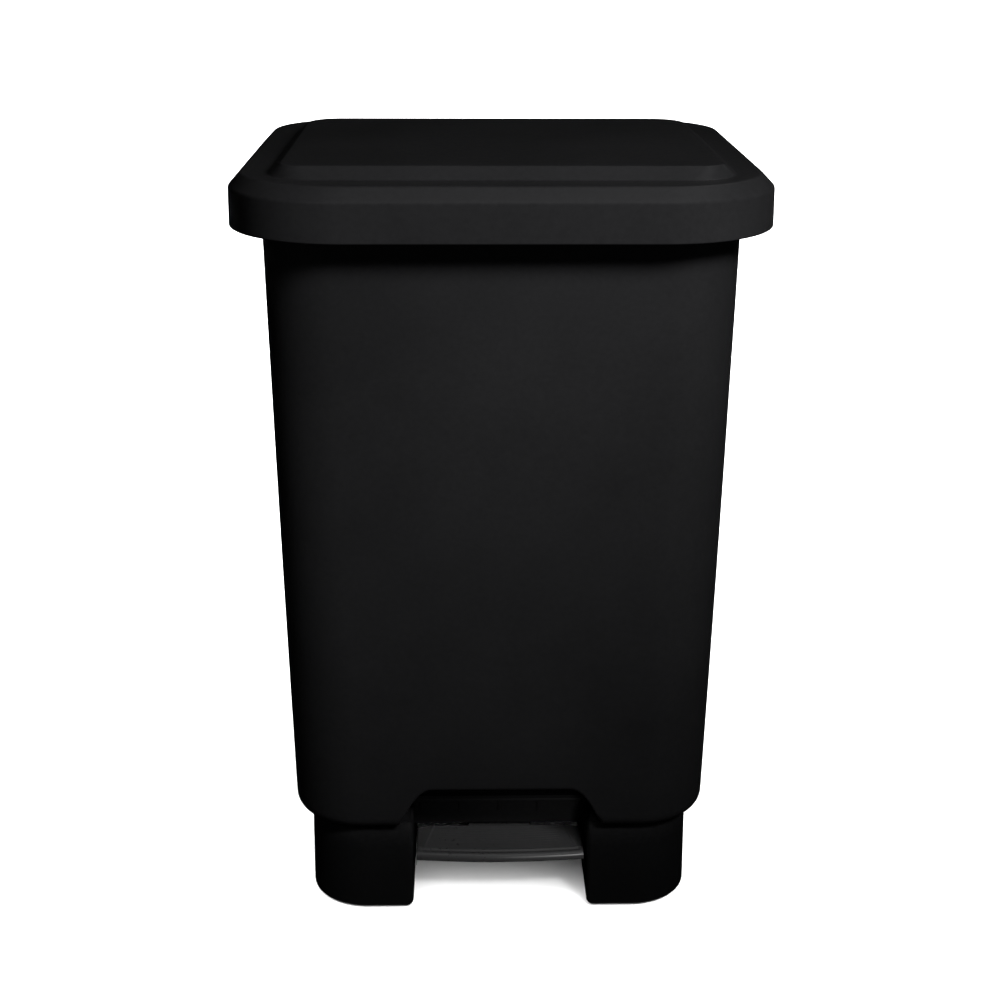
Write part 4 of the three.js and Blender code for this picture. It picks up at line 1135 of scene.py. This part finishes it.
def floor_paper():
    """White paper that throws little light back up on to the can."""
    material, tree, output = new_material("floor_paper")
    mix = add_node(tree, "ShaderNodeMixShader")
    tree.links.new(seen_directly(tree), mix.inputs["Fac"])
    tree.links.new(matt(tree, 0.03), mix.inputs[1])
    tree.links.new(matt(tree, 0.9), mix.inputs[2])
    tree.links.new(mix.outputs[0], output.inputs["Surface"])
    return material


def black_cards():
    """Large round black cards on all sides, which darken the reflections and nothing else."""
    material, tree, output = new_material("black_card")
    tree.links.new(matt(tree, 0.0), output.inputs["Surface"])
    cards = []
    for name, radius, place, turn in (
        ("card_below", 4.0, (0.0, 0.0, 0.003), (0, 0, 0)),
        ("card_behind", 4.0, (0.0, 3.0, 1.2), (90, 0, 0)),
        ("card_left", 4.0, (-3.0, 0.0, 1.2), (90, 0, 90)),
        ("card_right", 4.0, (3.0, 0.0, 1.2), (90, 0, 90)),
        ("card_in_front", 3.0, (0.0, -3.2, 0.4), (90, 0, 0)),
        ("card_above", 2.4, (-1.2, 0.0, 3.6), (180, 0, 0)),
    ):
        card = flat_disc(name, radius, material)
        card.location = place
        card.rotation_euler = [math.radians(angle) for angle in turn]
        card.visible_camera = False
        card.visible_diffuse = False
        card.visible_transmission = False
        card.visible_volume_scatter = False
        card.visible_shadow = False
        cards.append(card)
    return cards


def aimed_light(name, kind, place, target, power):
    """A light at a place, facing a point, in metres and watts."""
    data = bpy.data.lights.new(name, kind)
    data.energy = power
    light = add_object(name, data)
    light.location = place
    light.rotation_euler = (Vector(target) - Vector(place)).to_track_quat("-Z", "Y").to_euler()
    return light


def area_light(name, place, target, size, power):
    """A soft rectangular light."""
    light = aimed_light(name, "AREA", place, target, power)
    light.data.shape = "RECTANGLE"
    light.data.size, light.data.size_y = size
    return light


def spot_light(name, place, target, radius, cone, power):
    """A soft lamp that fades out evenly from the middle of its cone to the edge."""
    light = aimed_light(name, "SPOT", place, target, power)
    light.data.shadow_soft_size = radius
    light.data.spot_size = math.radians(cone)
    light.data.spot_blend = 1.0
    return light


def shine_on_only(light, pieces):
    """Keeps a light to some pieces, as a flag on a stand would; the others still cast its shadows."""
    lit = bpy.data.collections.new("lit_by_" + light.name)
    for piece in pieces:
        lit.objects.link(piece)
    light.light_linking.receiver_collection = lit


FOOT_END = ("treadle", "rib_wall", "base_deck_and_soles")


def keys():
    """Soft lamps from the front right: one for the lid, one for the rest, a weak one for the foot."""
    on_lid = [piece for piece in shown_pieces() if body_of(piece) == ["lid"]]
    below_lid = [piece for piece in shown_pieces() if body_of(piece) != ["lid"]]
    foot_end = [piece for piece in below_lid if piece.name in FOOT_END]
    key = spot_light("key", (0.60, -1.25, 1.56), (0.05, -0.15, 0.56), 0.28, 25.0, 335.0)
    shine_on_only(key, below_lid)
    lid_key = spot_light("lid_key", (0.57, -1.22, 1.15), (0.02, -0.1, 0.60), 0.13, 58.0, 128.0)
    shine_on_only(lid_key, on_lid)
    pedal_key = spot_light("pedal_key", (0.24, -0.92, 0.36), (0.08, -0.15, 0.055), 0.06, 22.0, 8.0)
    shine_on_only(pedal_key, foot_end)
    return key, lid_key, pedal_key


def floor_light(floor):
    """An even, very soft light for the floor alone, so that it stays white and keeps the shadow."""
    data = bpy.data.lights.new("floor_light", "SUN")
    data.energy = 13.0
    data.angle = math.radians(115)
    light = add_object("floor_light", data)
    light.rotation_euler = (math.radians(12), math.radians(14), 0.0)
    shine_on_only(light, [floor])
    return light


def build_room():
    """A room that is white where it is seen and nearly dark as a light."""
    world = bpy.data.worlds.new("room")
    world.use_nodes = True
    tree = world.node_tree
    room = tree.nodes["Background"]
    room.inputs["Color"].default_value = (1.0, 1.0, 1.0, 1.0)
    tree.links.new(ramp(tree, seen_directly(tree), 0.0, 1.0, 0.03, 1.0), room.inputs["Strength"])
    bpy.context.scene.world = world


def build_stage():
    """A white floor, black cards for the reflections, soft keys in front and weaker lights behind."""
    floor = flat_disc("floor", 30.0, floor_paper())
    cards = black_cards()
    key, lid_key, pedal_key = keys()
    shine = area_light("shine", (0.2, -0.7, 2.2), (0.0, -0.1, 0.5), (0.9, 0.9), 2.6)
    left = area_light("left_fill", (-0.9, 1.5, 0.6), (0.0, 0.0, 0.3), (0.7, 0.7), 4.0)
    right = area_light("right_fill", (1.1, 1.3, 0.6), (0.0, 0.0, 0.3), (0.7, 0.7), 8.0)
    back = area_light("back_fill", (0.0, 1.9, 0.5), (0.0, 0.0, 0.3), (1.4, 0.5), 17.0)
    for lamp in (key, lid_key, left, right, back):
        lamp.visible_glossy = False
    floor_light(floor)
    build_room()


def build_camera():
    """The camera in front of the can, a little above it and looking down on the lid."""
    data = bpy.data.cameras.new("camera")
    data.lens = 59.37
    data.sensor_width = 36.0
    camera = add_object("camera", data)
    tilt = math.radians(19.84)
    aside = math.radians(1.24)
    roll = math.radians(0.22)
    look = Vector((math.cos(tilt) * math.sin(aside), math.cos(tilt) * math.cos(aside), -math.sin(tilt)))
    turn = look.to_track_quat("-Z", "Y") @ Euler((0.0, 0.0, roll)).to_quaternion()
    camera.location = (-0.0280, -1.3927, 0.8208)
    camera.rotation_euler = turn.to_euler()
    bpy.context.scene.camera = camera


# ------------------------------------------------------------------ everything

# How the names of a slot's nodes start; all the others are steel
NODE_SLOTS = (
    ("tub", "tub_plastic"),
    ("rear_cover", "tub_plastic"),
    ("lid_bumper", "rubber"),
    ("lid", "lid_plastic"),
    ("base_frame", "base_plastic"),
    ("rod_guide", "base_plastic"),
    ("lift_crank", "base_plastic"),
    ("pedal_lever", "pedal_plastic"),
    ("foot_pad", "rubber"),
)


def slot_of(node):
    """The material slot of a frame node."""
    for start, slot in NODE_SLOTS:
        if node.startswith(start):
            return slot
    return "steel"


def dress_nodes():
    """Gives every frame node its finish."""
    for node, piece in frame["nodes"].items():
        slot = slot_of(node)
        piece.data.materials.clear()
        piece.data.materials.append(FINISHES[slot])


dress_nodes()
shell = tub_shell()
tub_floor()
tub_rim()
hinge_ears()
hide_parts("tub")
cover = lid_shell()
lid_ribs()
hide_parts("lid")
skirt = base_shell()
deck_and_soles()
axle_bosses()
rib_wall()
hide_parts("base_frame")
plate = treadle()
lever()
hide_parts("pedal_lever")
build_stage()
build_camera()
bpy.context.scene.view_settings.view_transform = "Standard"
